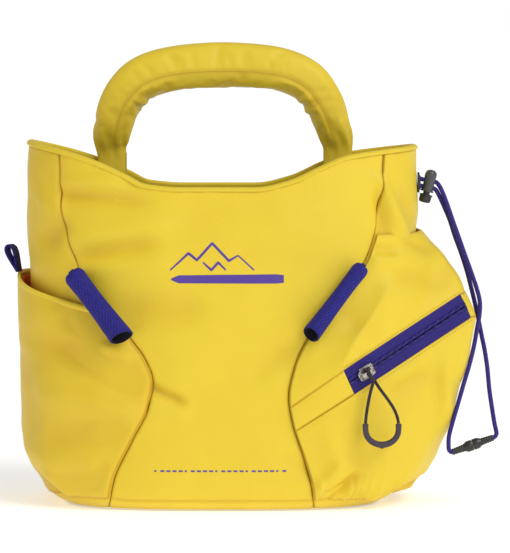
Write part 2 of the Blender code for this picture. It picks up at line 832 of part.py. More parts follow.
def tab_of_webbing(name, x, look):
    """The webbing that anchors one end of the handle inside the rim."""
    bm = bmesh.new()
    bmesh.ops.create_cube(bm, size=1.0)
    size = Vector((0.0170, 0.0016, 0.0340))
    bmesh.ops.scale(bm, vec=size, verts=bm.verts)
    bmesh.ops.translate(bm, vec=(x, HANDLE_PIVOT.y - 0.0004, 0.2310 - size.z / 2), verts=bm.verts)
    from_bmesh(name, bm, look, smooth=False)


def build_brush_tube(name, ends, look):
    """A flat webbing sewn into a tube, standing on the front seam."""
    top, bottom = (wall(angle_at(x, z), z) for x, z in ends)
    run = (bottom - top).normalized()
    middle = (top + bottom) / 2
    outward = Vector((middle.x / 4.0, middle.y, 0))
    outward = (outward - run * outward.dot(run)).normalized()
    across = outward.cross(run)
    lift = outward * (BRUSH_TUBE_DEEP + BRUSH_TUBE_LIFT)
    bm = bmesh.new()
    made = bmesh.ops.create_circle(bm, segments=16, radius=1.0, cap_ends=False)
    for vert in made["verts"]:
        local = vert.co.copy()
        vert.co = top + lift + across * local.x * BRUSH_TUBE_WIDE + outward * local.y * BRUSH_TUBE_DEEP
    made = bmesh.ops.extrude_edge_only(bm, edges=list(bm.edges))
    far = [v for v in made["geom"] if isinstance(v, bmesh.types.BMVert)]
    bmesh.ops.translate(bm, verts=far, vec=bottom - top)
    obj = from_bmesh(name, bm, look)
    face = obj.data.polygons[0]
    if (face.center - (middle + lift)).dot(face.normal) < 0:
        obj.data.flip_normals()
    thicken(obj, BRUSH_TUBE_CLOTH)


def lock_point(along_cord, across, up):
    """A place in the cord lock's own directions."""
    axis = Vector((math.sin(LOCK_TILT), 0, math.cos(LOCK_TILT)))
    cordwise = Vector((math.cos(LOCK_TILT), 0, -math.sin(LOCK_TILT)))
    return LOCK_CENTRE + cordwise * along_cord + Vector((0, across, 0)) + axis * up


def lock_matrix():
    turn = Matrix.Rotation(LOCK_TILT, 4, "Y")
    return Matrix.Translation(LOCK_CENTRE) @ turn


def turned(bm, profile, segments):
    """Spins a closed outline of (radius, height) points about Z."""
    verts = [bm.verts.new((r, 0, z)) for r, z in profile]
    edges = [bm.edges.new(pair) for pair in zip(verts, verts[1:])]
    bmesh.ops.spin(
        bm,
        geom=verts + edges,
        cent=(0, 0, 0),
        axis=(0, 0, 1),
        angle=2 * math.pi,
        steps=segments,
        use_merge=True,
        use_duplicate=False,
    )
    bmesh.ops.remove_doubles(bm, verts=bm.verts, dist=0.00001)


def box_object(name, low, high, look, matrix):
    bm = bmesh.new()
    bmesh.ops.create_cube(bm, size=1.0)
    size = Vector(high) - Vector(low)
    bmesh.ops.scale(bm, vec=size, verts=bm.verts)
    bmesh.ops.translate(bm, vec=(Vector(low) + Vector(high)) / 2, verts=bm.verts)
    bmesh.ops.transform(bm, matrix=matrix, verts=bm.verts)
    return from_bmesh(name, bm, look, smooth=False)


UPPER_STRAND_UP = 0.0036
LOWER_STRAND_UP = -0.0009
SLEEVE_LOW = -0.0038
SLEEVE_HIGH = 0.0112
SLOT_HALF = CORD_RADIUS + 0.0003
LOCK_BORE = 0.0031


def cut_with(obj, cutter, operation="DIFFERENCE"):
    cutter.hide_render = True
    cutter.display_type = "WIRE"
    cut = obj.modifiers.new(cutter.name, "BOOLEAN")
    cut.operation = operation
    cut.solver = "EXACT"
    cut.object = cutter


def build_cord_lock(plastic, metal):
    placed = lock_matrix()
    bore_end = SLEEVE_HIGH - 0.0012
    bm = bmesh.new()
    sleeve = (
        (LOCK_BORE, SLEEVE_LOW),
        (LOCK_RADIUS, SLEEVE_LOW),
        (LOCK_RADIUS, SLEEVE_HIGH - 0.0022),
        (LOCK_RADIUS * 0.78, SLEEVE_HIGH - 0.0006),
        (LOCK_RADIUS * 0.45, SLEEVE_HIGH),
        (0.0, SLEEVE_HIGH),
        (0.0, bore_end),
        (LOCK_BORE, bore_end),
        (LOCK_BORE, SLEEVE_LOW),
    )
    turned(bm, sleeve, 20)
    bmesh.ops.transform(bm, matrix=placed, verts=bm.verts)
    barrel = from_bmesh("cord_lock_sleeve", bm, plastic)
    slot_low = LOWER_STRAND_UP - CORD_RADIUS - 0.0004
    slot_high = UPPER_STRAND_UP + CORD_RADIUS + 0.0004
    slot = box_object(
        "lock_slot", (-0.006, -SLOT_HALF, slot_low), (0.006, SLOT_HALF, slot_high), plastic, placed
    )
    cut_with(barrel, slot)
    # The plunger is a cap with two prongs, joined above the cords.
    bm = bmesh.new()
    cap_high = SLEEVE_LOW - 0.0018
    cap = ((0.0, -0.0112), (0.0024, -0.0112), (LOCK_RADIUS, -0.0100), (LOCK_RADIUS, cap_high), (0.0, cap_high))
    turned(bm, cap, 20)
    bmesh.ops.transform(bm, matrix=placed, verts=bm.verts)
    button = from_bmesh("cord_lock_button", bm, plastic)
    bar_low = UPPER_STRAND_UP + CORD_RADIUS + 0.0004
    bar_high = bar_low + 0.0009
    fork = box_object(
        "lock_fork", (-0.0013, -0.0026, cap_high - 0.0010), (0.0013, 0.0026, bar_high), plastic, placed
    )
    cords = box_object(
        "lock_fork_gap",
        (-0.0040, -SLOT_HALF, cap_high - 0.00005),
        (0.0040, SLOT_HALF, bar_low),
        plastic,
        placed,
    )
    cut_with(fork, cords)
    cut_with(button, fork, "UNION")
    coil = []
    turns, points = 3, 36
    spring_low, spring_high = bar_high + 0.0006, bore_end - 0.0006
    for step in range(points + 1):
        turn = 2 * math.pi * turns * step / points
        up = spring_low + (spring_high - spring_low) * step / points
        coil.append(lock_point(0.0020 * math.cos(turn), 0.0020 * math.sin(turn), up))
    rope("cord_lock_spring", coil, 0.00025, metal, resolution=0)


def build_drawcord(cord, dark):
    gland_face = 0.1305 + 0.0005
    for name, start, up, route in (
        ("drawcord_upper", -0.0075, UPPER_STRAND_UP, STRAND_UPPER),
        ("drawcord_lower", -0.0064, LOWER_STRAND_UP, STRAND_LOWER),
    ):
        straight = [lock_point(w, 0, up) for w in (start, -0.0030, 0.0020, 0.0052)]
        rope(name, smooth_route(straight + list(route), 0.0060), CORD_RADIUS, cord)
    middle = lock_point(0, 0, (UPPER_STRAND_UP + LOWER_STRAND_UP) / 2)
    low = (gland_face - 0.0001, middle.y - 0.0065, middle.z - 0.0055)
    high = (gland_face + 0.0011, middle.y + 0.0065, middle.z + 0.0080)
    eyelet = box_object("cord_eyelet", low, high, dark, Matrix.Identity(4))
    for name, up in (("upper", UPPER_STRAND_UP), ("lower", LOWER_STRAND_UP)):
        bm = bmesh.new()
        bmesh.ops.create_cone(
            bm, cap_ends=True, segments=16, radius1=0.0021, radius2=0.0021, depth=0.012
        )
        turn = Matrix.Rotation(math.pi / 2 + LOCK_TILT, 4, "Y")
        place = Matrix.Translation(lock_point(-0.0045, 0, up)) @ turn
        bmesh.ops.transform(bm, matrix=place, verts=bm.verts)
        cut_with(eyelet, from_bmesh(f"eyelet_hole_{name}", bm, dark))


def build_connector(dark):
    """Two moulded halves that snap together and close the drawcord's loop."""
    run = CONNECTOR_RIGHT - CONNECTOR_LEFT
    length = run.length
    side = run.normalized()
    turn = Vector((1, 0, 0)).rotation_difference(side).to_matrix().to_4x4()
    placed = Matrix.Translation(CONNECTOR_LEFT) @ turn
    half = length / 2
    shape = ((0.0, 0.0014), (0.002, 0.0021), (0.007, 0.0023), (0.010, 0.0025), (0.0125, 0.0035), (half, 0.0036))
    for name, sign in (("left", 1), ("right", -1)):
        bm = bmesh.new()
        outline_points = [(r, x if sign > 0 else length - x) for x, r in shape]
        profile = [(0.0, outline_points[0][1]), *outline_points, (0.0, outline_points[-1][1])]
        if sign > 0:
            profile = [(r, min(x, half - 0.00015)) for r, x in profile]
        else:
            profile = [(r, max(x, half + 0.00015)) for r, x in profile]
        turned(bm, profile, 14)
        bmesh.ops.scale(bm, vec=(1.0, 0.72, 1.0), verts=bm.verts)
        bmesh.ops.transform(bm, matrix=placed @ Matrix.Rotation(math.pi / 2, 4, "Y"), verts=bm.verts)
        from_bmesh(f"connector_half_{name}", bm, dark)


def build():
    clear_scene()
    yellow = material("yellow_cloth", (0.80, 0.60, 0.06), 0.6)
    purple = material("purple_webbing", (0.045, 0.03, 0.28), 0.7)
    orange = material("orange_lining", (0.50, 0.06, 0.01), 0.8)
    fleece = material("grey_fleece", (0.30, 0.30, 0.32), 0.95)
    foam = material("foam", (0.10, 0.10, 0.11), 0.9)
    nickel = material("nickel", (0.66, 0.64, 0.58), 0.3, 1.0)
    dark = material("dark_plastic", (0.06, 0.06, 0.065), 0.45)
    plum = material("plum_rubber", (0.09, 0.07, 0.09), 0.5)
    tape = material("purple_tape", (0.04, 0.03, 0.24), 0.75)
    black_cord = material("black_cord", (0.03, 0.02, 0.03), 0.8)
    purple_cord = material("purple_cord", (0.05, 0.03, 0.30), 0.7)
    build_wall(yellow)
    build_base(yellow, foam)
    build_lining(fleece)
    build_rim(yellow)
    build_side_pocket(yellow, orange, purple)
    build_zip_pocket(yellow)
    build_zip(tape, tape)
    build_slider(nickel)
    build_puller(black_cord, plum)
    build_handle(yellow, foam, yellow)
    build_brush_tube("brush_tube_left", LEFT_TUBE, purple)
    build_brush_tube("brush_tube_right", RIGHT_TUBE, purple)
    build_cord_lock(dark, nickel)
    build_drawcord(purple_cord, dark)
    build_connector(dark)


build()
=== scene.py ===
"""The looks of a soft climber's chalk bucket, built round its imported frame. Metres, +Z up, and the
front faces -Y. The sections follow the order in which the real bag is put together."""

import math

import bmesh
import bpy
from mathutils import Matrix, Vector, noise
from mathutils.bvhtree import BVHTree


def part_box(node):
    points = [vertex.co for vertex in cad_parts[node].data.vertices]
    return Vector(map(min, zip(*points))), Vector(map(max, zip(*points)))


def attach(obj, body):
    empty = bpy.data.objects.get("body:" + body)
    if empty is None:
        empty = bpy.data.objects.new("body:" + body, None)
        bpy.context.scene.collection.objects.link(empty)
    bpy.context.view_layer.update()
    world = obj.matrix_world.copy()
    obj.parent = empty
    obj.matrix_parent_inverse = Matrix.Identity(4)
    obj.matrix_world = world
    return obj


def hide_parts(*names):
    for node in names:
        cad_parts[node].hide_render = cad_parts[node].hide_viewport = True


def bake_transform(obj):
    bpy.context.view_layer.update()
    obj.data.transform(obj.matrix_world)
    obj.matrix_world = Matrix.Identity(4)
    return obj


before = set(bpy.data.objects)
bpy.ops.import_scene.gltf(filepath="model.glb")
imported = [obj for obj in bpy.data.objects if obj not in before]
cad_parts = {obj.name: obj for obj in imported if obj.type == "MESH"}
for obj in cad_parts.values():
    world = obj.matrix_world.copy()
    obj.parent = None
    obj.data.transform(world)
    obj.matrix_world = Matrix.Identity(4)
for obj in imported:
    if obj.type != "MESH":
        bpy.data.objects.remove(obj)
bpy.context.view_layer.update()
scene = bpy.context.scene

# --- The studio ---------------------------------------------------------------------------------
# A pale seamless floor, one large soft light from the right, a weaker one from the left and an even
# white surround. The camera stands far back with a long lens, a little above the bag.
VIEW_TARGET = Vector((0.0221, -0.0400, 0.1525))
VIEW_DISTANCE = 3.00
VIEW_RISE = math.radians(4.0)
LENS = 294.5

camera = bpy.data.objects.new("camera", bpy.data.cameras.new("camera"))
scene.collection.objects.link(camera)
backwards = Vector((0, -math.cos(VIEW_RISE), math.sin(VIEW_RISE)))
camera.data.lens = LENS
camera.location = VIEW_TARGET + backwards * VIEW_DISTANCE
camera.rotation_mode = "QUATERNION"
camera.rotation_quaternion = (-backwards).to_track_quat("-Z", "Y")
scene.camera = camera
scene.view_settings.view_transform = "Standard"


def soft_light(name, place, size, power, colour=(1, 1, 1)):
    lamp = bpy.data.lights.new(name, "AREA")
    lamp.shape = "DISK"
    lamp.size = size
    lamp.energy = power
    lamp.color = colour
    made = bpy.data.objects.new(name, lamp)
    scene.collection.objects.link(made)
    made.location = place
    aim = Vector((0, 0, 0.14)) - Vector(place)
    made.rotation_mode = "QUATERNION"
    made.rotation_quaternion = aim.to_track_quat("-Z", "Y")


sun = bpy.data.lights.new("key_light", "SUN")
sun.energy = 1.36
sun.angle = math.radians(32)
key = bpy.data.objects.new("key_light", sun)
scene.collection.objects.link(key)
key.rotation_mode = "QUATERNION"
key.rotation_quaternion = Vector((-0.62, 0.62, -0.90)).to_track_quat("-Z", "Y")
soft_light("front_light", (0.75, -1.50, 0.75), 0.7, 3.5)
soft_light("left_light", (-1.50, -0.50, 0.45), 0.9, 1.3, (1.0, 0.84, 0.55))

world = bpy.data.worlds.new("surround")
world.use_nodes = True
scene.world = world
sky = world.node_tree
seen = sky.nodes["Background"]
seen.inputs["Color"].default_value = (1, 1, 1, 1)
seen.inputs["Strength"].default_value = 1.0
felt = sky.nodes.new("ShaderNodeBackground")
felt.inputs["Strength"].default_value = 0.53
chooser = sky.nodes.new("ShaderNodeMixShader")
ray = sky.nodes.new("ShaderNodeLightPath")
sky.links.new(ray.outputs["Is Camera Ray"], chooser.inputs["Fac"])
sky.links.new(felt.outputs["Background"], chooser.inputs[1])
sky.links.new(seen.outputs["Background"], chooser.inputs[2])
sky.links.new(chooser.outputs["Shader"], sky.nodes["World Output"].inputs["Surface"])


def plain_material(name, colour, roughness, **others):
    """One even finish; others are further inputs of its shader, with _ for a space."""
    made = bpy.data.materials.new(name)
    made.use_nodes = True
    shader = made.node_tree.nodes["Principled BSDF"]
    shader.inputs["Base Color"].default_value = (*colour, 1.0)
    shader.inputs["Roughness"].default_value = roughness
    for key, value in others.items():
        shader.inputs[key.replace("_", " ")].default_value = value
    return made


floor_sheet = bmesh.new()
bmesh.ops.create_grid(floor_sheet, x_segments=1, y_segments=1, size=15.0)
floor_mesh = bpy.data.meshes.new("floor")
floor_sheet.to_mesh(floor_mesh)
floor_sheet.free()
floor = bpy.data.objects.new("floor", floor_mesh)
floor.location.z = -0.0005
scene.collection.objects.link(floor)
floor_paint = plain_material(
    "floor_paint", (0.93, 0.93, 0.93), 0.6, Emission_Color=(1, 1, 1, 1), Emission_Strength=0.42
)
floor.data.materials.append(floor_paint)

# --- The drawcord -------------------------------------------------------------------------------
# One 3 mm braided polyester cord runs round the rim's channel, and its two ends come out through an
# eyelet and a sprung lock, hang down the side and meet in a snap connector.
CORD_RADIUS = 0.0015
LOCK_CENTRE = Vector((0.1380, -0.0080, 0.2109))
LOCK_TILT = math.radians(13.9)
UPPER_STRAND_UP = 0.0036
LOWER_STRAND_UP = -0.0009
STRAND_UPPER = (
    (0.1470, -0.0092, 0.2082), (0.1506, -0.0102, 0.1990), (0.1543, -0.0117, 0.1882),
    (0.1576, -0.0130, 0.1790), (0.1618, -0.0150, 0.1670), (0.1665, -0.0170, 0.1540),
    (0.1702, -0.0190, 0.1430), (0.1722, -0.0205, 0.1345), (0.1720, -0.0220, 0.1260),
    (0.1702, -0.0238, 0.1160), (0.1680, -0.0280, 0.1050), (0.1648, -0.0325, 0.0930),
    (0.1610, -0.0362, 0.0810), (0.1568, -0.0392, 0.0670), (0.1530, -0.0404, 0.0540),
    (0.1510, -0.0404, 0.0460), (0.1508, -0.0402, 0.0400), (0.1510, -0.0400, 0.0372),
    (0.1524, -0.0398, 0.0354), (0.1552, -0.0395, 0.0361),
)
STRAND_LOWER = (
    (0.1456, -0.0075, 0.2040), (0.1492, -0.0070, 0.1962), (0.1528, -0.0070, 0.1875),
    (0.1558, -0.0078, 0.1780), (0.1602, -0.0093, 0.1660), (0.1640, -0.0115, 0.1540),
    (0.1668, -0.0135, 0.1430), (0.1692, -0.0150, 0.1330), (0.1714, -0.0166, 0.1230),
    (0.1735, -0.0188, 0.1120), (0.1755, -0.0215, 0.1020), (0.1772, -0.0245, 0.0900),
    (0.1784, -0.0280, 0.0760), (0.1802, -0.0318, 0.0630), (0.1816, -0.0345, 0.0540),
    (0.1826, -0.0356, 0.0494), (0.1828, -0.0362, 0.0468), (0.1812, -0.0365, 0.0450),
    (0.1784, -0.0368, 0.0440),
)


def lock_point(along_cord, across, up):
    """A place in the cord lock's own directions."""
    axis = Vector((math.sin(LOCK_TILT), 0, math.cos(LOCK_TILT)))
    cordwise = Vector((math.cos(LOCK_TILT), 0, -math.sin(LOCK_TILT)))
    return LOCK_CENTRE + cordwise * along_cord + Vector((0, across, 0)) + axis * up


def smooth_route(route, spacing):
    """Points at an even spacing on a smooth curve through the route."""
    route = [Vector(p) for p in route]
    ends = [2 * route[0] - route[1], *route, 2 * route[-1] - route[-2]]
    fine = []
    for a, b, c, d in zip(ends, ends[1:], ends[2:], ends[3:]):
        for k in range(16):
            t = k / 16
            bend = (2 * a - 5 * b + 4 * c - d) * t**2 + (3 * b - a - 3 * c + d) * t**3
            fine.append(0.5 * (2 * b + (c - a) * t + bend))
    fine.append(route[-1])
    run = [0.0]
    for a, b in zip(fine, fine[1:]):
        run.append(run[-1] + (b - a).length)
    count = max(2, round(run[-1] / spacing))
    points, k = [], 0
    for step in range(count + 1):
        want = run[-1] * step / count
        while k < len(run) - 2 and run[k + 1] < want:
            k += 1
        share = (want - run[k]) / max(run[k + 1] - run[k], 1e-9)
        points.append(fine[k].lerp(fine[k + 1], share))
    return points


def route_length(points):
    return sum((b - a).length for a, b in zip(points, points[1:]))


def place_mesh(name, bm, look, body="bag", keep_sharp=35, stands_for=None):
    """Turns a bmesh into a shown piece that rides on a body, in the place of a CAD node."""
    mesh = bpy.data.meshes.new(name)
    bm.to_mesh(mesh)
    bm.free()
    mesh.shade_smooth()
    mesh.set_sharp_from_angle(angle=math.radians(keep_sharp))
    made = bpy.data.objects.new(name, mesh)
    made.data.materials.append(look)
    scene.collection.objects.link(made)
    if body:
        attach(made, body)
    if stands_for:
        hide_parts(stands_for)
    return made


def frames_along(points):
    """At each point of a route: the way ahead and two directions square to it, without twist."""
    made, up = [], Vector((0, -1, 0))
    for k, point in enumerate(points):
        ahead = (points[min(k + 1, len(points) - 1)] - points[max(k - 1, 0)]).normalized()
        up = (up - ahead * up.dot(ahead)).normalized()
        made.append((point, ahead, up, ahead.cross(up)))
    return made


def laid_grid(columns, rows, place, weld=0.0):
    """A grid laid by place(p, q), with a UV map in metres; p runs across it and q along it."""
    bm = bmesh.new()
    bmesh.ops.create_grid(bm, x_segments=columns, y_segments=rows, size=0.5)
    spots = {vert.index: (vert.co.x + 0.5, vert.co.y + 0.5) for vert in bm.verts}
    width = route_length([place(k / 24, 0.5) for k in range(25)])
    length = route_length([place(0.5, k / 48) for k in range(49)])
    uv = bm.loops.layers.uv.new("UVMap")
    for face in bm.faces:
        for loop in face.loops:
            p, q = spots[loop.vert.index]
            loop[uv].uv = (p * width, q * length)
    for vert in bm.verts:
        vert.co = place(*spots[vert.index])
    if weld:
        bmesh.ops.remove_doubles(bm, verts=bm.verts, dist=weld)
    bm.normal_update()
    return bm


def grid_shares(columns, rows):
    """The (p, q) of each vertex of a grid, in the order of the grid's vertices."""
    flat = bmesh.new()
    bmesh.ops.create_grid(flat, x_segments=columns, y_segments=rows, size=0.5)
    shares = [(vert.co.x + 0.5, vert.co.y + 0.5) for vert in flat.verts]
    flat.free()
    return shares


def closed_grid(columns, rows, place):
    """A tube laid by place(p, q), welded to itself along q, with both ends filled."""
    bm = laid_grid(columns, rows, place, weld=1e-6)
    bmesh.ops.holes_fill(bm, edges=[edge for edge in bm.edges if edge.is_boundary], sides=0)
    bmesh.ops.recalc_face_normals(bm, faces=bm.faces)
    return bm


def sweep(points, ring, sides, level=None):
    """Draws a ring of (out, side) offsets along a route; ring(turn, q) gives an offset for a turn.
    Its out direction never twists, or it stays as near to level as the route allows."""
    frames = frames_along(points)
    last = len(frames) - 1

    def place(p, q):
        point, ahead, up, side = frames[round(q * last)]
        if level:
            up = (level - ahead * level.dot(ahead)).normalized()
            side = ahead.cross(up)
        out, along_side = ring(2 * math.pi * p, q)
        return point + up * out + side * along_side

    return closed_grid(sides, last, place)


def round_ring(radius):
    """A round cord's cross section."""
    return lambda turn, q: (radius * math.sin(turn), radius * math.cos(turn))


def add_node(tree, kind, inputs=None, **settings):
    made = tree.nodes.new(kind)
    for key, value in settings.items():
        setattr(made, key, value)
    for key, value in (inputs or {}).items():
        if isinstance(value, bpy.types.NodeSocket):
            tree.links.new(value, made.inputs[key])
        else:
            made.inputs[key].default_value = value
    return made


def sums(tree, operation, first, second=0.0, third=0.0):
    """The result of one Math node."""
    made = add_node(tree, "ShaderNodeMath", operation=operation)
    for socket, value in zip(made.inputs, (first, second, third)):
        if isinstance(value, bpy.types.NodeSocket):
            tree.links.new(value, socket)
        else:
            socket.default_value = value
    return made.outputs[0]


def woven_group():
    """Threads over and under each other, from a UV map in metres; a slant makes it a twill."""
    group = bpy.data.node_groups.new("woven threads", "ShaderNodeTree")
    face = group.interface
    face.new_socket("Vector", in_out="INPUT", socket_type="NodeSocketVector")
    for name, value in (("Across", 1600.0), ("Along", 1600.0), ("Slant", 0.0)):
        face.new_socket(name, in_out="INPUT", socket_type="NodeSocketFloat").default_value = value
    face.new_socket("Height", in_out="OUTPUT", socket_type="NodeSocketFloat")
    face.new_socket("Fleck", in_out="OUTPUT", socket_type="NodeSocketFloat")
    given = group.nodes.new("NodeGroupInput").outputs
    parts = add_node(group, "ShaderNodeSeparateXYZ", {"Vector": given["Vector"]}).outputs
    across = sums(group, "MULTIPLY", parts["X"], given["Across"])
    along_cloth = sums(group, "MULTIPLY", parts["Y"], given["Along"])
    leaning = sums(group, "MULTIPLY_ADD", along_cloth, given["Slant"], across)
    first = sums(group, "SINE", sums(group, "MULTIPLY", leaning, math.pi))
    second = sums(group, "SINE", sums(group, "MULTIPLY", along_cloth, math.pi))
    crossing = sums(group, "MULTIPLY", first, second)
    height = sums(group, "MULTIPLY_ADD", crossing, 0.5, 0.5)
    cells = add_node(group, "ShaderNodeCombineXYZ", {"X": leaning, "Y": along_cloth})
    spots = add_node(group, "ShaderNodeTexWhiteNoise", noise_dimensions="2D")
    whole = add_node(group, "ShaderNodeVectorMath", {0: cells.outputs[0]}, operation="FLOOR")
    group.links.new(whole.outputs[0], spots.inputs["Vector"])
    out = group.nodes.new("NodeGroupOutput")
    group.links.new(height, out.inputs["Height"])
    group.links.new(spots.outputs["Value"], out.inputs["Fleck"])
    return group


WOVEN = woven_group()


def weave(tree, across, along_cloth, slant=0.0):
    """The woven threads' outputs, laid by the piece's own UV map."""
    place = add_node(tree, "ShaderNodeUVMap", uv_map="UVMap")
    inputs = {"Vector": place.outputs["UV"], "Across": across, "Along": along_cloth, "Slant": slant}
    return add_node(tree, "ShaderNodeGroup", inputs, node_tree=WOVEN).outputs


def cloudy(tree, scale, detail, roughness=0.5):
    """Noise that stays fixed to the piece, from 0 to 1."""
    place = add_node(tree, "ShaderNodeTexCoord").outputs["Object"]
    inputs = {"Vector": place, "Scale": scale, "Detail": detail, "Roughness": roughness}
    return add_node(tree, "ShaderNodeTexNoise", inputs).outputs["Fac"]


def two_tone(tree, share, dark, light):
    """Colours the shader between two tones."""
    tone = add_node(tree, "ShaderNodeMix", data_type="RGBA")
    tree.links.new(share, tone.inputs[0])
    tone.inputs[6].default_value = (*dark, 1)
    tone.inputs[7].default_value = (*light, 1)
    tree.links.new(tone.outputs[2], tree.nodes["Principled BSDF"].inputs["Base Color"])


def raised_by(tree, height, distance, strength=1.0):
    """Raises the finish by a height, over whatever raised it before."""
    bump = add_node(tree, "ShaderNodeBump", {"Height": height, "Distance": distance, "Strength": strength})
    surface = tree.nodes["Principled BSDF"].inputs["Normal"]
    if surface.is_linked:
        tree.links.new(surface.links[0].from_socket, bump.inputs["Normal"])
    tree.links.new(bump.outputs["Normal"], surface)


def webbing_look(name, dark, light, across, along_cloth, slant, depth, roughness=0.62, sheen=0.3):
    """Dyed yarn in a weave: the raised threads catch the light, and some are paler than others."""
    made = plain_material(
        name, dark, roughness, Sheen_Weight=sheen, Sheen_Roughness=0.4, Specular_IOR_Level=0.22
    )
    tree = made.node_tree
    woven = weave(tree, across, along_cloth, slant)
    raised = sums(tree, "POWER", woven["Height"], 2.5)
    fleck = sums(tree, "MULTIPLY_ADD", woven["Fleck"], 0.7, 0.3)
    two_tone(tree, sums(tree, "MULTIPLY", raised, fleck), dark, light)
    raised_by(tree, woven["Height"], depth, 0.9)
    return made


def braid_look(name, dark, light, roughness=0.55):
    """A braided sheath: yarns cross in both slants, so that they make rows of small arrowheads."""
    return webbing_look(name, dark, light, 1450.0, 620.0, 0.5, 0.00025, roughness, 0.15)


def grained_plastic(name, colour, roughness, grain=0.00003):
    """Moulded nylon with the fine spark-eroded grain of its mould, rubbed paler in places."""
    made = plain_material(name, colour, roughness)
    tree = made.node_tree
    broad = cloudy(tree, 160.0, 4.0)
    two_tone(tree, broad, [c * 0.75 for c in colour], [min(c * 1.35, 1) for c in colour])
    worn = sums(tree, "MULTIPLY_ADD", broad, 0.25, roughness - 0.12)
    tree.links.new(worn, tree.nodes["Principled BSDF"].inputs["Roughness"])
    raised_by(tree, cloudy(tree, 2600.0, 3.0), grain)
    return made


PURPLE_CORD = braid_look("purple_braid", (0.024, 0.014, 0.17), (0.070, 0.048, 0.34))
DARK_PLASTIC = grained_plastic("charcoal_nylon", (0.020, 0.019, 0.019), 0.34)
GREY_PLASTIC = grained_plastic("grey_nylon", (0.062, 0.062, 0.066), 0.28)

# --- The snap connector -------------------------------------------------------------------------
# Two moulded nylon halves: a ribbed tail that grips the cord's end, and a barrel that clicks into
# the other half.
CONNECTOR_LEFT = Vector((0.1526, -0.0398, 0.0352))
CONNECTOR_RIGHT = Vector((0.1812, -0.0365, 0.0450))
TAIL_RIBS = 5
CONNECTOR_FLAT = 0.74  # its depth to its height


def turned(profile, segments):
    """A solid turned about Z from a line of (radius, height) points."""
    bm = bmesh.new()
    line = [bm.verts.new((r, 0, z)) for r, z in profile]
    edges = [bm.edges.new(pair) for pair in zip(line, line[1:])]
    bmesh.ops.spin(
        bm,
        geom=line + edges,
        cent=(0, 0, 0),
        axis=(0, 0, 1),
        angle=2 * math.pi,
        steps=segments,
        use_merge=True,
        use_duplicate=False,
    )
    bmesh.ops.remove_doubles(bm, verts=bm.verts, dist=0.00001)
    bmesh.ops.recalc_face_normals(bm, faces=bm.faces)
    return bm


def connector_profile(half):
    """From the cord's end to the middle: a ribbed tail, a collar and the barrel."""
    line = [(0.0, 0.0), (0.0013, 0.0), (0.0017, 0.0004)]
    tail = 0.0088
    steps = TAIL_RIBS * 6
    for step in range(steps + 1):
        share = step / steps
        rib = 0.00038 * abs(math.sin(math.pi * TAIL_RIBS * share))
        line.append((0.0018 + 0.0004 * share + rib, 0.0006 + (tail - 0.0006) * share))
    line += [(0.0026, 0.0091), (0.0028, 0.0100), (0.0034, 0.0108), (0.0037, 0.0118)]
    line += [(0.0037, half - 0.0006), (0.0035, half - 0.0002), (0.0, half - 0.0002)]
    return line


connector_run = CONNECTOR_RIGHT - CONNECTOR_LEFT
to_run = Vector((0, 0, 1)).rotation_difference(connector_run.normalized()).to_matrix().to_4x4()
for name, sign in (("left", 1), ("right", -1)):
    half_body = turned(connector_profile(connector_run.length / 2), 28)
    bmesh.ops.scale(half_body, vec=(1, CONNECTOR_FLAT, sign), verts=half_body.verts)
    start = CONNECTOR_LEFT if sign > 0 else CONNECTOR_RIGHT
    bmesh.ops.transform(half_body, matrix=Matrix.Translation(start) @ to_run, verts=half_body.verts)
    bmesh.ops.recalc_face_normals(half_body, faces=half_body.faces)
    node = f"connector_half_{name}"
    place_mesh(f"snap_half_{name}", half_body, DARK_PLASTIC, stands_for=node)

for strand, start, up, route in (
    ("upper", -0.0075, UPPER_STRAND_UP, STRAND_UPPER),
    ("lower", -0.0064, LOWER_STRAND_UP, STRAND_LOWER),
):
    straight = [lock_point(w, 0, up) for w in (start, -0.0030, 0.0020, 0.0052)]
    cord_line = smooth_route(straight + list(route), 0.0015)
    braid = sweep(cord_line, round_ring(CORD_RADIUS), 16)
    cord = place_mesh(
        f"braided_cord_{strand}", braid, PURPLE_CORD, stands_for=f"drawcord_{strand}"
    )
    route_length(cord_line)

# --- The cord lock ------------------------------------------------------------------------------
# A barrel lock: a domed sleeve and a button pushed up into it by a spring. Both are pierced for the
# two strands, which the spring holds fast.
SLEEVE_LOW = -0.0038
SLEEVE_HIGH = 0.0112
LOCK_RADIUS = 0.0040
BUTTON_LOW = -0.0112
LIP = 0.00045

lock_place = Matrix.Translation(LOCK_CENTRE) @ Matrix.Rotation(LOCK_TILT, 4, "Y")


def rounded(corner_radius, corner, steps=5):
    """A convex corner of a turned profile, from pointing out to pointing up."""
    r, z = corner
    made = []
    for step in range(steps + 1):
        turn = math.pi / 2 * step / steps
        reach = corner_radius * (1 - math.cos(turn)), corner_radius * (1 - math.sin(turn))
        made.append((r - reach[0], z - reach[1]))
    return made


def eased(bm, edges, offset, segments=3):
    """Rounds edges over."""
    bmesh.ops.bevel(
        bm,
        geom=list(edges),
        offset=offset,
        offset_type="OFFSET",
        segments=segments,
        profile=0.5,
        affect="EDGES",
        material=-1,
    )


def box_mesh(low, high):
    bm = bmesh.new()
    bmesh.ops.create_cube(bm, size=1.0)
    bmesh.ops.scale(bm, vec=high - low, verts=bm.verts)
    bmesh.ops.translate(bm, vec=(low + high) / 2, verts=bm.verts)
    return bm


def in_scene(name, bm):
    """A helper object, for a tool that works on objects."""
    mesh = bpy.data.meshes.new(name)
    bm.to_mesh(mesh)
    made = bpy.data.objects.new(name, mesh)
    scene.collection.objects.link(made)
    return made


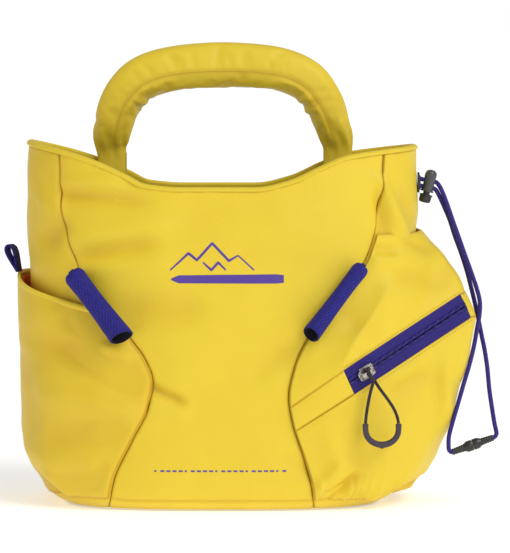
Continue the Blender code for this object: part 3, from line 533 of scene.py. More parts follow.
def cut_box(bm, low, high):
    """Cuts a box out of a closed bmesh through a Boolean, and returns the result as a bmesh."""
    tool = box_mesh(Vector(low), Vector(high))
    eased(tool, tool.edges, 0.0004, 2)
    holder, cutter = in_scene("before", bm), in_scene("tool", tool)
    bm.free()
    tool.free()
    cut = holder.modifiers.new("cut", "BOOLEAN")
    cut.operation = "DIFFERENCE"
    cut.solver = "EXACT"
    cut.object = cutter
    graph = bpy.context.evaluated_depsgraph_get()
    made = bmesh.new()
    made.from_mesh(holder.evaluated_get(graph).to_mesh())
    for obj in (holder, cutter):
        bpy.data.objects.remove(obj, do_unlink=True)
    return made


sleeve_line = [(0.0, SLEEVE_HIGH - 0.0012), (0.0031, SLEEVE_HIGH - 0.0012), (0.0031, SLEEVE_LOW)]
sleeve_line += [(LOCK_RADIUS, SLEEVE_LOW), (LOCK_RADIUS + LIP, SLEEVE_LOW + 0.0002)]
sleeve_line += [(LOCK_RADIUS + LIP, SLEEVE_LOW + 0.0010), (LOCK_RADIUS, SLEEVE_LOW + 0.0014)]
sleeve_line += rounded(0.0034, (LOCK_RADIUS, SLEEVE_HIGH)) + [(0.0, SLEEVE_HIGH)]
sleeve = turned(sleeve_line, 40)
slot_room = CORD_RADIUS + 0.0003
slot_low = LOWER_STRAND_UP - CORD_RADIUS - 0.0004
slot_high = UPPER_STRAND_UP + CORD_RADIUS + 0.0004
sleeve = cut_box(sleeve, (-0.007, -slot_room, slot_low), (0.007, slot_room, slot_high))
bmesh.ops.transform(sleeve, matrix=lock_place, verts=sleeve.verts)
place_mesh("lock_barrel", sleeve, GREY_PLASTIC, "cord_lock", 30, "cord_lock_sleeve")

cap_high = SLEEVE_LOW - 0.0018
button_line = [(0.0, BUTTON_LOW)]
button_line += [(r, BUTTON_LOW + (cap_high - z)) for r, z in rounded(0.0016, (LOCK_RADIUS, cap_high))[::-1]]
button_line += [(LOCK_RADIUS, cap_high - 0.0012), (LOCK_RADIUS + LIP, cap_high - 0.0009)]
button_line += [(LOCK_RADIUS + LIP, cap_high - 0.0002), (LOCK_RADIUS - 0.0002, cap_high)]
button_line += [(0.0028, cap_high), (0.0028, slot_high + 0.0011), (0.0, slot_high + 0.0011)]
button = cut_box(
    turned(button_line, 40), (-0.007, -slot_room, cap_high + 0.0002), (0.007, slot_room, slot_high)
)
bmesh.ops.transform(button, matrix=lock_place, verts=button.verts)
place_mesh("lock_plunger", button, DARK_PLASTIC, "lock_button", 30, "cord_lock_button")

SPRING_STEEL = plain_material("spring_wire", (0.55, 0.55, 0.56), 0.25, Metallic=1.0)
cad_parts["cord_lock_spring"].data.materials[0] = SPRING_STEEL

# --- The cord eyelet ----------------------------------------------------------------------------
# A flat moulded plate with rounded corners, riveted through the side panel, with a hole for each
# strand.
eyelet_low, eyelet_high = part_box("cord_eyelet")
plate = box_mesh(eyelet_low, eyelet_high)
eased(plate, [e for e in plate.edges if abs((e.verts[0].co - e.verts[1].co).x) > 0.0005], 0.0030, 6)
eased(plate, [e for e in plate.edges if min(v.co.x for v in e.verts) > eyelet_high.x - 1e-6], 0.0004)
place_mesh(
    "eyelet_plate", plate, DARK_PLASTIC, keep_sharp=30, stands_for="cord_eyelet"
)
for strand_up in (UPPER_STRAND_UP, LOWER_STRAND_UP):
    ring_at = lock_point(-0.0048, 0, strand_up)
    collar = turned([(0.0017, 0), (0.0017, 0.0006), (0.0024, 0.0008), (0.0028, 0.0004), (0.0029, 0)], 24)
    seat = Matrix.Translation((eyelet_high.x, ring_at.y, ring_at.z))
    bmesh.ops.transform(collar, matrix=seat @ Matrix.Rotation(math.pi / 2, 4, "Y"), verts=collar.verts)
    place_mesh(f"eyelet_collar_{'upper' if strand_up > 0 else 'lower'}", collar, DARK_PLASTIC)

# --- The bag's wall -----------------------------------------------------------------------------
# Four panels of yellow coated polyester over thin foam, sewn edge to edge. The seams draw the cloth
# in, and the soft wall keeps shallow folds where it was bent.
WALL_ROUNDNESS = 2.8
WALL = (
    (0.000, 0.104, 0.068), (0.006, 0.114, 0.076), (0.020, 0.120, 0.080), (0.060, 0.124, 0.080),
    (0.100, 0.126, 0.078), (0.140, 0.128, 0.075), (0.180, 0.130, 0.070), (0.210, 0.1305, 0.064),
    (0.245, 0.1295, 0.058),
)
RIM = (
    (-0.130, 0.2420), (-0.107, 0.2370), (-0.084, 0.2300), (-0.064, 0.2215), (-0.050, 0.2150),
    (-0.027, 0.2130), (0.023, 0.2130), (0.045, 0.2175), (0.068, 0.2275), (0.086, 0.2340),
    (0.108, 0.2370), (0.130, 0.2390),
)
BACK_RIM_DROP = 0.003
LEFT_SEAM = (
    (0.000, -0.0745), (0.020, -0.0710), (0.046, -0.0590), (0.070, -0.0475), (0.086, -0.0450),
    (0.102, -0.0510), (0.112, -0.0585), (0.159, -0.0940), (0.176, -0.1007), (0.195, -0.1057),
    (0.245, -0.1080),
)
RIGHT_SEAM = (
    (0.000, 0.0610), (0.015, 0.0596), (0.034, 0.0548), (0.060, 0.0465), (0.076, 0.0442),
    (0.095, 0.0479), (0.110, 0.0545), (0.164, 0.0947), (0.180, 0.1007), (0.195, 0.1040),
    (0.245, 0.1080),
)
BACK_SEAM = 0.100
SKIN = 0.0022
SEAM_ROOM = 0.00012
SEAM_DEEP = 0.0007  # how far a seam draws the cloth in
SEAM_REACH = 0.0030
WALL_FOOT = 0.0005
RIM_FOLD = 0.0022  # the hem's turned edge covers this much of the wall

# Folds seen from the front: the two ends of each, its half width and its height; a hollow is below 0.
WALL_FOLDS = (
    (-0.101, 0.2150, -0.071, 0.2165, 0.0050, 0.0013),
    (-0.102, 0.2080, -0.058, 0.2040, 0.0050, -0.0021),
    (-0.094, 0.1810, -0.040, 0.1885, 0.0080, 0.0012),
    (-0.089, 0.1680, -0.052, 0.1755, 0.0055, -0.0023),
    (-0.086, 0.1590, -0.040, 0.1640, 0.0070, 0.0010),
    (-0.060, 0.1330, -0.022, 0.1350, 0.0110, -0.0016),
    (-0.045, 0.0810, -0.028, 0.0735, 0.0035, -0.0024),
    (-0.046, 0.0700, -0.026, 0.0655, 0.0050, 0.0009),
    (0.040, 0.1080, 0.022, 0.0900, 0.0070, -0.0008),
    (-0.119, 0.2010, -0.108, 0.2040, 0.0080, 0.0013),
    (-0.116, 0.1760, -0.104, 0.1870, 0.0070, -0.0019),
    (-0.122, 0.1600, -0.106, 0.1560, 0.0080, 0.0012),
    (0.106, 0.2120, 0.1185, 0.1830, 0.0046, 0.0030),
    (0.1035, 0.2080, 0.1075, 0.1850, 0.0034, -0.0024),
    (0.121, 0.2080, 0.1260, 0.1880, 0.0045, -0.0012),
    (0.060, 0.0260, 0.040, 0.0350, 0.0060, -0.0007),
)


def along(stations, x):
    """The value at x of a smooth curve through (x, value) stations."""
    xs = [s[0] for s in stations]
    ys = [s[1] for s in stations]
    if x <= xs[0]:
        return ys[0]
    if x >= xs[-1]:
        return ys[-1]
    i = max(k for k in range(len(xs) - 1) if xs[k] <= x)

    def step(k):
        return (ys[k + 1] - ys[k]) / (xs[k + 1] - xs[k])

    def slope(k):
        if k == 0 or k == len(xs) - 1:
            return step(0) if k == 0 else step(k - 1)
        before, after = step(k - 1), step(k)
        if before * after <= 0:
            return 0.0
        return 2 * before * after / (before + after)

    width = xs[i + 1] - xs[i]
    t = (x - xs[i]) / width
    return (
        (2 * t**3 - 3 * t**2 + 1) * ys[i]
        + (t**3 - 2 * t**2 + t) * width * slope(i)
        + (3 * t**2 - 2 * t**3) * ys[i + 1]
        + (t**3 - t**2) * width * slope(i + 1)
    )


def ease(t):
    t = min(max(t, 0.0), 1.0)
    return t * t * (3 - 2 * t)


def outline(profile, roundness, angle, z, out=0.0):
    """A point of a rounded-box outline, at an angle from +X, at height z."""
    half_wide = along([(p[0], p[1]) for p in profile], z) + out
    half_deep = along([(p[0], p[2]) for p in profile], z) + out
    c, s = math.cos(angle), math.sin(angle)
    power = 2 / roundness
    x = math.copysign(abs(c) ** power, c) * half_wide
    y = math.copysign(abs(s) ** power, s) * half_deep
    return Vector((x, y, z))


def wall(angle, z, out=0.0):
    return outline(WALL, WALL_ROUNDNESS, angle, z, out)


def angle_at(x, z, back=False):
    """The angle where the wall is at x, on the front or on the back."""
    half_wide = along([(p[0], p[1]) for p in WALL], z)
    share = min(abs(x) / half_wide, 1.0) ** (WALL_ROUNDNESS / 2)
    angle = math.acos(math.copysign(share, x))
    return angle if back else -angle


def rim_height(angle, out=0.0):
    x = wall(angle, 0.235, out).x
    back = max(math.sin(angle), 0.0)
    return along(RIM, x) - BACK_RIM_DROP * back


def folded(folds, x, z):
    """How far the folds lift the cloth at a place."""
    lift = 0.0
    for x0, z0, x1, z1, wide, high in folds:
        run_x, run_z = x1 - x0, z1 - z0
        length = math.hypot(run_x, run_z)
        share = ((x - x0) * run_x + (z - z0) * run_z) / length**2
        across = abs((x - x0) * run_z - (z - z0) * run_x) / length
        if across > 3 * wide or not -0.6 < share < 1.6:
            continue
        fade = ease((share + 0.45) / 0.6) * ease((1.45 - share) / 0.6)
        lift += high * fade * math.exp(-((across / wide) ** 2))
    return lift


def slack(place, seed, size=0.045, height=0.0009):
    """The slow unevenness of soft cloth."""
    lean = Vector((place.x + 0.6 * place.z, place.y * 0.7, place.z * 1.5 - 0.4 * place.x))
    broad = noise.noise(lean / size + Vector((seed, 0, 0)))
    small = noise.noise(lean / (size * 0.42) + Vector((0, seed, 0)))
    return height * (broad + 0.35 * small)


def seam_pull(distance):
    """How far the cloth lies below its free surface at a distance from a seam."""
    return -SEAM_DEEP * (1 - ease(distance / SEAM_REACH)) ** 1.6


def thickened(piece, thickness, offset=-1.0):
    """Gives a piece its cloth's thickness, inwards from its face unless offset says otherwise."""
    solid = piece.modifiers.new("cloth", "SOLIDIFY")
    solid.thickness = thickness
    solid.offset = offset
    return piece


def turned_out(bm, inside_out):
    """Turns every face round if the sign of inside_out says so."""
    if inside_out < 0:
        bmesh.ops.reverse_faces(bm, faces=bm.faces)


def sewn_panel(node, name, place, columns, rows, thickness, lift, look):
    """A panel laid by place(p, q), then raised along its own face by lift(co, p, q) and thickened. lift also
    gives each point a painted-shade amount, which the yellow cloth's colour reads.
    """
    bm = laid_grid(columns, rows, place)
    turned_out(bm, sum(f.normal.dot(f.calc_center_median() - Vector((0, 0, 0.1))) for f in bm.faces))
    bm.normal_update()
    cut_area = sum(face.calc_area() for face in bm.faces)
    moves = []
    painted_shade = bm.verts.layers.float.new("painted_shade")
    for vert, (p, q) in zip(bm.verts, grid_shares(columns, rows)):
        up, vert[painted_shade] = lift(vert.co, p, q)
        moves.append((vert, vert.normal.copy() * up))
    for vert, move in moves:
        vert.co += move
    made = thickened(place_mesh(name, bm, look, keep_sharp=180, stands_for=node), thickness)
    wide = max(route_length([place(k / 24, q / 8) for k in range(25)]) for q in range(9))
    return made


def coated_cloth(name, colour, deep, warp=2700.0):
    """Polyester with a satin coating: a fine plain weave and a soft sheen. Its colour carries painted shade:
    it turns towards deep, a darker orange shade tone, in the weave's hollows and as far as each point's
    shade attribute says, with a little random tone mixed in.
    """
    made = plain_material(
        name, colour, 0.5, Sheen_Weight=0.06, Sheen_Roughness=0.35, Specular_IOR_Level=0.34
    )
    tree = made.node_tree
    woven = weave(tree, warp, warp)
    broad = cloudy(tree, 26.0, 3.0, 0.55)
    # Painted shade: the per-point shade attribute (seams, fold hollows, shaded sides) and the weave's
    # hollows turn the colour towards the darker deep tone; the broad noise and the flecks add random tone.
    painted_shade = add_node(tree, "ShaderNodeAttribute", attribute_name="painted_shade").outputs["Fac"]
    weave_hollow_shade = sums(tree, "SUBTRACT", 1.0, woven["Height"])
    shade_and_tone = sums(tree, "MULTIPLY_ADD", weave_hollow_shade, 0.10, sums(tree, "MULTIPLY", painted_shade, 0.9))
    shade_and_tone = sums(tree, "ADD", shade_and_tone, sums(tree, "MULTIPLY_ADD", broad, 0.22, -0.08))
    shade_and_tone = sums(tree, "MULTIPLY_ADD", woven["Fleck"], 0.05, shade_and_tone)
    two_tone(tree, shade_and_tone, colour, deep)
    rubbed = sums(tree, "MULTIPLY_ADD", cloudy(tree, 240.0, 5.0, 0.6), 0.22, 0.38)
    tree.links.new(rubbed, tree.nodes["Principled BSDF"].inputs["Roughness"])
    raised_by(tree, woven["Height"], 0.00009, 0.55)
    raised_by(tree, broad, 0.0016, 0.35)
    return made


# The second colour is a darker, more orange copy of the yellow, used as painted shade and for a little
# random tone.
YELLOW = coated_cloth("yellow_coated_cloth", (0.80, 0.600, 0.034), (0.60, 0.33, 0.012))


def wall_piece(name, left, right, columns, rows, seed, covered=-1.0):
    """One panel of the wall. Below the height `covered` a pocket lies over it and presses it flat."""

    def place(p, q):
        z = 0.11
        for _ in range(5):
            angle = left(z) + p * (right(z) - left(z))
            z = WALL_FOOT + q**1.4 * (rim_height(angle) - RIM_FOLD + 0.001 - WALL_FOOT)
        angle = left(z) + p * (right(z) - left(z))
        return wall(angle, z)

    def lift(co, p, q):
        z = max(co.z, 0.0)
        width = (wall(left(z), z) - wall(right(z), z)).length if p < 2 else 0.0
        side = min(p, 1 - p) * max(width, 0.05)
        foot = abs(co.z - base_seam_height(co.x, co.y))
        pull = min(seam_pull(side), 0.8 * seam_pull(foot))
        front = ease(-co.y / 0.03)
        height = 1.8 * folded(WALL_FOLDS, co.x, co.z) * front
        free = ease(side / 0.012) * ease((co.z - 0.010) / 0.03)
        height += slack(co, seed, height=0.0009 + 0.0007 * (1 - front)) * free
        height -= max(height, 0.0) * ease((covered - co.z) / 0.010)
        # Painted shade: darker along the seams, in the fold hollows, and over the left of the bag, which the
        # key light leaves in shade.
        dark = 0.6 * max(1 - side / 0.0005, 1 - foot / 0.0014, 0.0)
        dark += max(-height, 0.0) * 75 + 0.22 * ease((-0.075 - co.x) / 0.04)
        return pull + height, min(dark, 1.0)

    return sewn_panel(name, f"{name}_cloth", place, columns, rows, SKIN, lift, YELLOW)


def base_seam_height(x, y):
    """The base is sewn on this far up: a little higher beside the front corners."""
    return 0.0068 + 0.0032 * ease((abs(x) - 0.060) / 0.03) * ease((0.125 - abs(x)) / 0.02)


def left_seam(z, inset=0.0):
    return angle_at(along(LEFT_SEAM, z) + inset, z)


def right_seam(z, inset=0.0):
    return angle_at(along(RIGHT_SEAM, z) + inset, z)


def back_seam(x):
    return lambda z: angle_at(x, z, back=True)


front_panel = wall_piece(
    "front_panel", lambda z: left_seam(z, SEAM_ROOM), lambda z: right_seam(z, -SEAM_ROOM), 110, 120, 3.1
)
right_edge, left_edge = lambda z: right_seam(z, SEAM_ROOM), lambda z: 2 * math.pi + left_seam(z, -SEAM_ROOM)
wall_piece("right_side_panel", right_edge, back_seam(BACK_SEAM + SEAM_ROOM), 80, 90, 7.7, covered=0.150)
wall_piece("back_panel", back_seam(BACK_SEAM - SEAM_ROOM), back_seam(SEAM_ROOM - BACK_SEAM), 100, 90, 12.4)
wall_piece("left_side_panel", back_seam(-BACK_SEAM - SEAM_ROOM), left_edge, 80, 90, 16.9, covered=0.108)

# --- The base -----------------------------------------------------------------------------------
# A flat panel of the same cloth over a closed-cell foam board, so that the bag stands up.
BASE_ROUNDING = 0.0009


def base_plate(name, node_name, look, rounding):
    """A flat plate with the wall's outline and its edges eased."""
    low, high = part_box(node_name)
    middle, half = (low + high) / 2, (high - low) / 2
    profile = ((0.0, half.x, half.y), (1.0, half.x, half.y))
    bm = bmesh.new()
    bmesh.ops.create_circle(bm, cap_ends=True, segments=120, radius=1.0)
    for vert in bm.verts:
        spot = outline(profile, WALL_ROUNDNESS, math.atan2(vert.co.y, vert.co.x), 0.5)
        vert.co = Vector((middle.x + spot.x, middle.y + spot.y, low.z))
    made = bmesh.ops.extrude_face_region(bm, geom=list(bm.faces))
    raised = [v for v in made["geom"] if isinstance(v, bmesh.types.BMVert)]
    bmesh.ops.translate(bm, verts=raised, vec=(0, 0, (high - low).z))
    eased(bm, [e for e in bm.edges if len(e.link_faces) == 2 and e.calc_face_angle(0) > 1.2], rounding)
    bmesh.ops.recalc_face_normals(bm, faces=bm.faces)
    uv = bm.loops.layers.uv.new("UVMap")
    for face in bm.faces:
        for loop in face.loops:
            loop[uv].uv = loop.vert.co.xy
    place_mesh(name, bm, look, stands_for=node_name)


FOAM = grained_plastic("closed_cell_foam", (0.09, 0.09, 0.10), 0.85, 0.0003)
base_plate("base_cloth", "base_panel", YELLOW, BASE_ROUNDING)
base_plate("base_board", "base_stiffener", FOAM, 0.0012)

# --- The rim ------------------------------------------------------------------------------------
# The wall's top edge is turned in over the drawcord's channel and sewn down: a flat hem outside, a
# rounded top and a facing of the same cloth inside.
HEM_OUT = 0.0010
HEM_THICK = 0.0042
FACING_DEEP = 0.024
RIM_CLOTH = 0.0006


def rim_section(turn, q):
    """How far out and how far below the rim's top the hem's skin lies: outside, over, inside."""
    outside, over = 0.20, 0.34
    if q < outside:
        share = q / outside
        return HEM_OUT * (0.55 + 0.45 * ease(share * 2.5)), -0.0016 * (1 - share) - 0.0016
    if q < over:
        swing = math.pi * (q - outside) / (over - outside)
        half = (HEM_THICK + HEM_OUT) / 2
        return HEM_OUT - half + half * math.cos(swing), -0.0016 + 0.0016 * math.sin(swing)
    share = (q - over) / (1 - over)
    return -HEM_THICK - 0.0004 * ease(share), -0.0016 - FACING_DEEP * share


def rim_skin(p, q):
    angle = -math.pi + 2 * math.pi * p
    out, down = rim_section(angle, q)
    high = rim_height(angle)
    gather = 0.0004 * noise.noise(Vector((math.cos(angle), math.sin(angle), 0)) * 9)
    puckers = 0.00022 * math.sin(angle * 96) * ease((-down - 0.001) / 0.003)
    return wall(angle, high + min(down, 0), out + gather + puckers) + Vector((0, 0, max(down, 0)))


rim = laid_grid(300, 34, rim_skin, weld=1e-6)
bmesh.ops.recalc_face_normals(rim, faces=rim.faces)
turned_out(rim, sum(f.normal.z for f in rim.faces if f.calc_center_median().z > 0.2))
thickened(place_mesh("rim_channel", rim, YELLOW, "bag", 180, "rim_hem"), RIM_CLOTH)

# --- The bucket's lining ------------------------------------------------------------------------
# A sewn cup of deep-pile polyester fleece, which holds the chalk.
LINING_THICK = 0.0016
LINING_FLOOR = 0.0096
PILE = 0.0011


def fleece_look(name, colour):
    """Deep pile: tufts from dark roots to pale tips, with chalk rubbed into them."""
    made = plain_material(name, colour, 0.95, Sheen_Weight=0.5, Sheen_Roughness=0.5)
    tree = made.node_tree
    tufts = cloudy(tree, 420.0, 6.0, 0.7)
    pale = sums(tree, "MULTIPLY", tufts, sums(tree, "ADD", cloudy(tree, 34.0, 4.0), 0.3))
    two_tone(tree, pale, [c * 0.6 for c in colour], [min(1, c * 1.6) for c in colour])
    raised_by(tree, tufts, 0.0012)
    return made


FLEECE = fleece_look("grey_deep_pile", (0.30, 0.30, 0.32))


def lining_skin(p, q):
    """q runs from the middle of the floor out to the wall and then up it."""
    angle = 2 * math.pi * p
    floor_share = 0.30
    if q < floor_share:
        share = q / floor_share
        edge = wall(angle, LINING_FLOOR + 0.004, -SKIN - 0.0062)
        spot = Vector((edge.x * share, edge.y * share, LINING_FLOOR))
    else:
        share = (q - floor_share) / (1 - floor_share)
        high = rim_height(angle) - FACING_DEEP + 0.003
        z = LINING_FLOOR + 0.0008 + share**1.3 * (high - LINING_FLOOR)
        inset = SKIN + 0.0034 + 0.0028 * (1 - ease((z - LINING_FLOOR) / 0.012))
        spot = wall(angle, z, -inset)
    inward = (Vector((0, 0, 0.11)) - spot).normalized()
    tuft = noise.noise(spot / 0.006) + 0.6 * noise.noise(spot / 0.0026)
    return spot + inward * PILE * (tuft + 0.5)


cup = laid_grid(150, 110, lining_skin, weld=1e-5)
bmesh.ops.recalc_face_normals(cup, faces=cup.faces)
turned_out(cup, sum(f.normal.z for f in cup.faces if f.calc_center_median().z < LINING_FLOOR + 0.002))
thickened(place_mesh("fleece_cup", cup, FLEECE, "bag", 180, "bucket_lining"), LINING_THICK)

# --- The side pocket ----------------------------------------------------------------------------
# A stretch pocket over the left side, open at the top, bound with a narrow turned edge and faced
# with an orange mesh. A short purple webbing makes its pull loop.
POCKET_CLOTH = 0.0014
POCKET_LINING = 0.0006
SIDE_POCKET_FOOT = 0.007
POCKET_GAP = 0.0004
POCKET_ROUND = 0.19  # how far it reaches round the side
SIDE_POCKET = (
    (0.004, 0.1165, 0.0785), (0.013, 0.1210, 0.0830), (0.022, 0.1270, 0.0860),
    (0.038, 0.1335, 0.0870), (0.070, 0.1355, 0.0865), (0.110, 0.1365, 0.0845),
    (0.155, 0.1370, 0.0800),
)
SIDE_POCKET_TOP = ((0.0, 0.150), (0.45, 0.1525), (0.62, 0.147), (0.80, 0.140), (1.0, 0.131))
SIDE_POCKET_FOLDS = (
    (-0.1010, 0.1260, -0.0740, 0.1180, 0.0080, -0.0024),
    (-0.1080, 0.1090, -0.0600, 0.0880, 0.0090, -0.0030),
    (-0.1060, 0.0760, -0.0610, 0.0690, 0.0090, 0.0022),
    (-0.0760, 0.1090, -0.0620, 0.1010, 0.0055, 0.0020),
    (-0.1120, 0.0480, -0.0700, 0.0560, 0.0100, -0.0016),
    (-0.1180, 0.0300, -0.0850, 0.0340, 0.0080, 0.0012),
    (-0.1240, 0.0190, -0.1080, 0.0080, 0.0030, -0.0024),
    (-0.1150, 0.0220, -0.1020, 0.0100, 0.0034, 0.0016),
    (-0.1300, 0.0900, -0.1260, 0.0500, 0.0060, -0.0014),
    (-0.0860, 0.0180, -0.0780, 0.0300, 0.0040, -0.0012),
)


def side_pocket_face(p, z, out=0.0):
    """The side pocket's outer face: p runs from the back seam round the side to the front seam."""
    left = angle_at(-BACK_SEAM, z, back=True)
    right = 2 * math.pi + left_seam(z)
    angle = left + p * (right - left)
    belly = ease(min(p / 0.20, (1 - p) / 0.34))
    near = wall(angle, z, POCKET_CLOTH + POCKET_LINING + 2.2 * POCKET_GAP + out)
    full = outline(SIDE_POCKET, WALL_ROUNDNESS, angle, z, out)
    return near.lerp(full, belly)


def outer_pocket(p, q):
    return side_pocket_face(p, SIDE_POCKET_FOOT + q * (along(SIDE_POCKET_TOP, p) - SIDE_POCKET_FOOT))


def pocket_folds(co, side):
    """The pocket's folds at a place on its front, fading out beside its seams."""
    return 1.3 * folded(SIDE_POCKET_FOLDS, co.x, co.z) * ease(-co.y / 0.03) * ease(side / 0.010)


def pocket_lift(co, p, q):
    side = min(p, 1 - p) * POCKET_ROUND
    foot = co.z - SIDE_POCKET_FOOT
    height = pocket_folds(co, side)
    free = ease(side / 0.014) * ease(foot / 0.02) * ease((1 - q) / 0.08)
    height += slack(co, 21.3, height=0.0016) * free
    height = max(height, -0.0008 - 0.0040 * ease((side - 0.020) / 0.03))
    pull = min(1.6 * seam_pull(side), 1.4 * seam_pull(foot * 0.7))
    # Painted shade: darker along the seams and in the fold hollows, with an even share over the whole
    # pocket, as it lies on the shaded left side.
    dark = 0.7 * max(1 - side / 0.0009, 1 - foot / 0.002, 0.0) + max(-height, 0.0) * 80 + 0.22
    return pull + height, min(dark, 1.0)


sewn_panel("side_pocket", "side_pocket_cloth", outer_pocket, 120, 100, POCKET_CLOTH, pocket_lift, YELLOW)


def inner_pocket(p, q):
    p = 0.030 + 0.940 * p
    high = along(SIDE_POCKET_TOP, p) - 0.003
    z = 0.040 + q * (high - 0.040)
    return side_pocket_face(p, z, -POCKET_CLOTH - 0.0008)


def facing_lift(co, p, q):
    return pocket_folds(co, min(p, 1 - p) * POCKET_ROUND) - 0.0009, 0.0


ORANGE = webbing_look(
    "orange_mesh", (0.86, 0.075, 0.004), (1.0, 0.24, 0.015), 1400, 1400, 0.0, 0.0001, 0.8, 0.1
)
sewn_panel(
    "side_pocket_lining",
    "side_pocket_facing",
    inner_pocket,
    90,
    70,
    POCKET_LINING,
    facing_lift,
    ORANGE,
)

hem_shares = [0.006 + 0.988 * k / 120 for k in range(121)]
hem_line = [side_pocket_face(p, along(SIDE_POCKET_TOP, p) - 0.0010, -0.0009) for p in hem_shares]
bound_edge = lambda turn, q: (0.0021 * math.sin(turn), 0.0012 * math.cos(turn))
binding = sweep(hem_line, bound_edge, 14, level=Vector((0, 0, 1)))
place_mesh(
    "side_pocket_binding", binding, YELLOW, keep_sharp=180, stands_for="side_pocket_hem"
)

# --- The pull loop ------------------------------------------------------------------------------
# A short flat webbing, folded over into a drop shape and sewn in under the pocket's binding.
LOOP_HIGH = 0.0185
LOOP_WIDE = 0.0046
LOOP_CLOTH = 0.0015
LOOP_STRAP = 0.0080
LOOP_LEAN = math.radians(20)
PURPLE_WEBBING = webbing_look(
    "purple_webbing", (0.015, 0.012, 0.15), (0.050, 0.044, 0.42), 1150.0, 1150.0, 0.5, 0.00030, 0.72, 0.03
)

loop_foot = side_pocket_face(0.47, 0.1525) + Vector((0.0004, 0, 0.0018))
loop_turn = Matrix.Translation(loop_foot) @ Matrix.Rotation(-LOOP_LEAN, 4, "Y")
loop_line = []
for k in range(49):
    turn = 2 * math.pi * k / 48
    up = 0.5 - 0.5 * math.cos(turn)
    swell = math.sin(turn) * (0.12 + 0.88 * up**1.2)
    spot = Vector(((LOOP_WIDE - LOOP_CLOTH / 2) * swell, 0, LOOP_HIGH * (up - 0.04)))
    loop_line.append(loop_turn @ spot)


def strap_section(thick, wide, round_power=5.0):
    """A flat strap's cross section, with rounded edges."""

    def ring(turn, q):
        c, s = math.cos(turn), math.sin(turn)
        out = math.copysign(abs(s) ** (2 / round_power), s) * thick / 2
        side = math.copysign(abs(c) ** (2 / round_power), c) * wide / 2
        return out, side

    return ring


def swept_strap(points, thick, wide, side):
    """A strap along a route, its width along a fixed direction."""
    last = len(points) - 1
    ring = strap_section(thick, wide)

    def place(p, q):
        k = round(q * last)
        ahead = (points[min(k + 1, last)] - points[max(k - 1, 0)]).normalized()
        out, across = ring(2 * math.pi * p, q)
        return points[k] + side * across + ahead.cross(side).normalized() * out

    return closed_grid(28, last, place)


loop = swept_strap(loop_line, LOOP_CLOTH, LOOP_STRAP, Vector((0.40, 0.917, 0)))
place_mesh("pull_loop_webbing", loop, PURPLE_WEBBING, stands_for="pull_loop")

# --- The brush tubes ----------------------------------------------------------------------------
# Broad purple webbing rolled into a tube and caught in the front seam: its outer side is arched and
# the side on the bag is flat. Both ends are open, and their cut edges are turned in.
TUBE_DEEP = 0.0062
TUBE_LIFT = 0.0068
TUBE_CLOTH = 0.0014
LEFT_TUBE = ((-0.0945, 0.1575), (-0.0613, 0.1155))
RIGHT_TUBE = ((0.0895, 0.1620), (0.0553, 0.1176))
# A near-black finish for the inside of each tube: painted shade, as little light reaches in there.
TUBE_INSIDE_SHADE = plain_material("tube_inside_painted_shade", (0.0016, 0.0012, 0.006), 1.0)


def tube_piece(name, ends, tube_wide, seed):
    top, bottom = (wall(angle_at(x, z), z) for x, z in ends)
    run = (bottom - top).normalized()
    middle = (top + bottom) / 2
    outward = Vector((middle.x / 4.0, middle.y, 0))
    outward = (outward - run * outward.dot(run)).normalized()
    across = outward.cross(run)
    lift = outward * (TUBE_DEEP + TUBE_LIFT)
    length = (bottom - top).length

    def wall_of_tube(q):
        """Where along the tube, and how far inside its skin, a share of the section lies."""
        if q < 0.44:
            return q / 0.44, 0.0
        if q < 0.50:
            swing = math.pi * (q - 0.44) / 0.06
            return 1 + 0.012 * math.sin(swing), TUBE_CLOTH * (1 - math.cos(swing)) / 2
        if q < 0.94:
            return 1 - (q - 0.50) / 0.44, TUBE_CLOTH
        swing = math.pi * (q - 0.94) / 0.06
        return -0.012 * math.sin(swing), TUBE_CLOTH * (1 + math.cos(swing)) / 2

    def place(p, q):
        turn = 2 * math.pi * p
        share, inset = wall_of_tube(q)
        c, s = math.cos(turn), math.sin(turn)
        closing = min(max(1 - share / 0.11, 0.0), 1.0)
        pinch = 0.04 + 0.96 * math.sqrt(1 - closing**2.4)
        waist = 1 - 0.09 * math.sin(math.pi * min(share / 0.8, 1.0)) + 0.07 * ease((share - 0.80) / 0.2)
        wide = (tube_wide - inset) * (0.25 + 0.75 * pinch) * waist
        deep = (TUBE_DEEP - inset) * pinch * waist
        out = deep * (s if s > 0 else math.copysign(abs(s) ** 0.75, s) * 0.86)
        side = math.copysign(abs(c) ** 0.86, c) * wide
        trim = (0.0012 * c - 0.0024 * s) * ease((share - 0.7) / 0.3)
        soft = 0.00035 * noise.noise(Vector((p * 3 + seed, share * 5, 0)))
        spot = top + lift + run * (length * share + trim)
        return spot + across * side * (1 + soft * 40) + outward * (out + soft)

    bm = laid_grid(56, 140, place, weld=1e-6)
    bmesh.ops.recalc_face_normals(bm, faces=bm.faces)
    # Faces on the tube's inner wall take the second, near-black material as painted shade.
    for face in bm.faces:
        spot = face.calc_center_median() - top - lift
        spot -= run * spot.dot(run)
        face.material_index = int(face.normal.dot(spot) < 0)
    piece = place_mesh(f"{name}_webbing", bm, PURPLE_WEBBING, "bag", 180, name)
    piece.data.materials.append(TUBE_INSIDE_SHADE)

    # The seam allowance that holds the tube: a flat tongue of the same webbing down to the wall.
    def tongue(p, q):
        share = 0.03 + 0.94 * q
        x, z = Vector(ends[0]).lerp(Vector(ends[1]), share)
        skin = top + lift + run * (length * share) - outward * (TUBE_DEEP * 0.80)
        return wall(angle_at(x, z), z).lerp(skin, p)

    strip = laid_grid(4, 24, tongue)
    piece = place_mesh(f"{name}_allowance", strip, PURPLE_WEBBING, keep_sharp=180)
    thickened(piece, 0.0020, offset=0.0)


tube_piece("brush_tube_left", LEFT_TUBE, 0.0074, 1.0)
tube_piece("brush_tube_right", RIGHT_TUBE, 0.0056, 5.0)

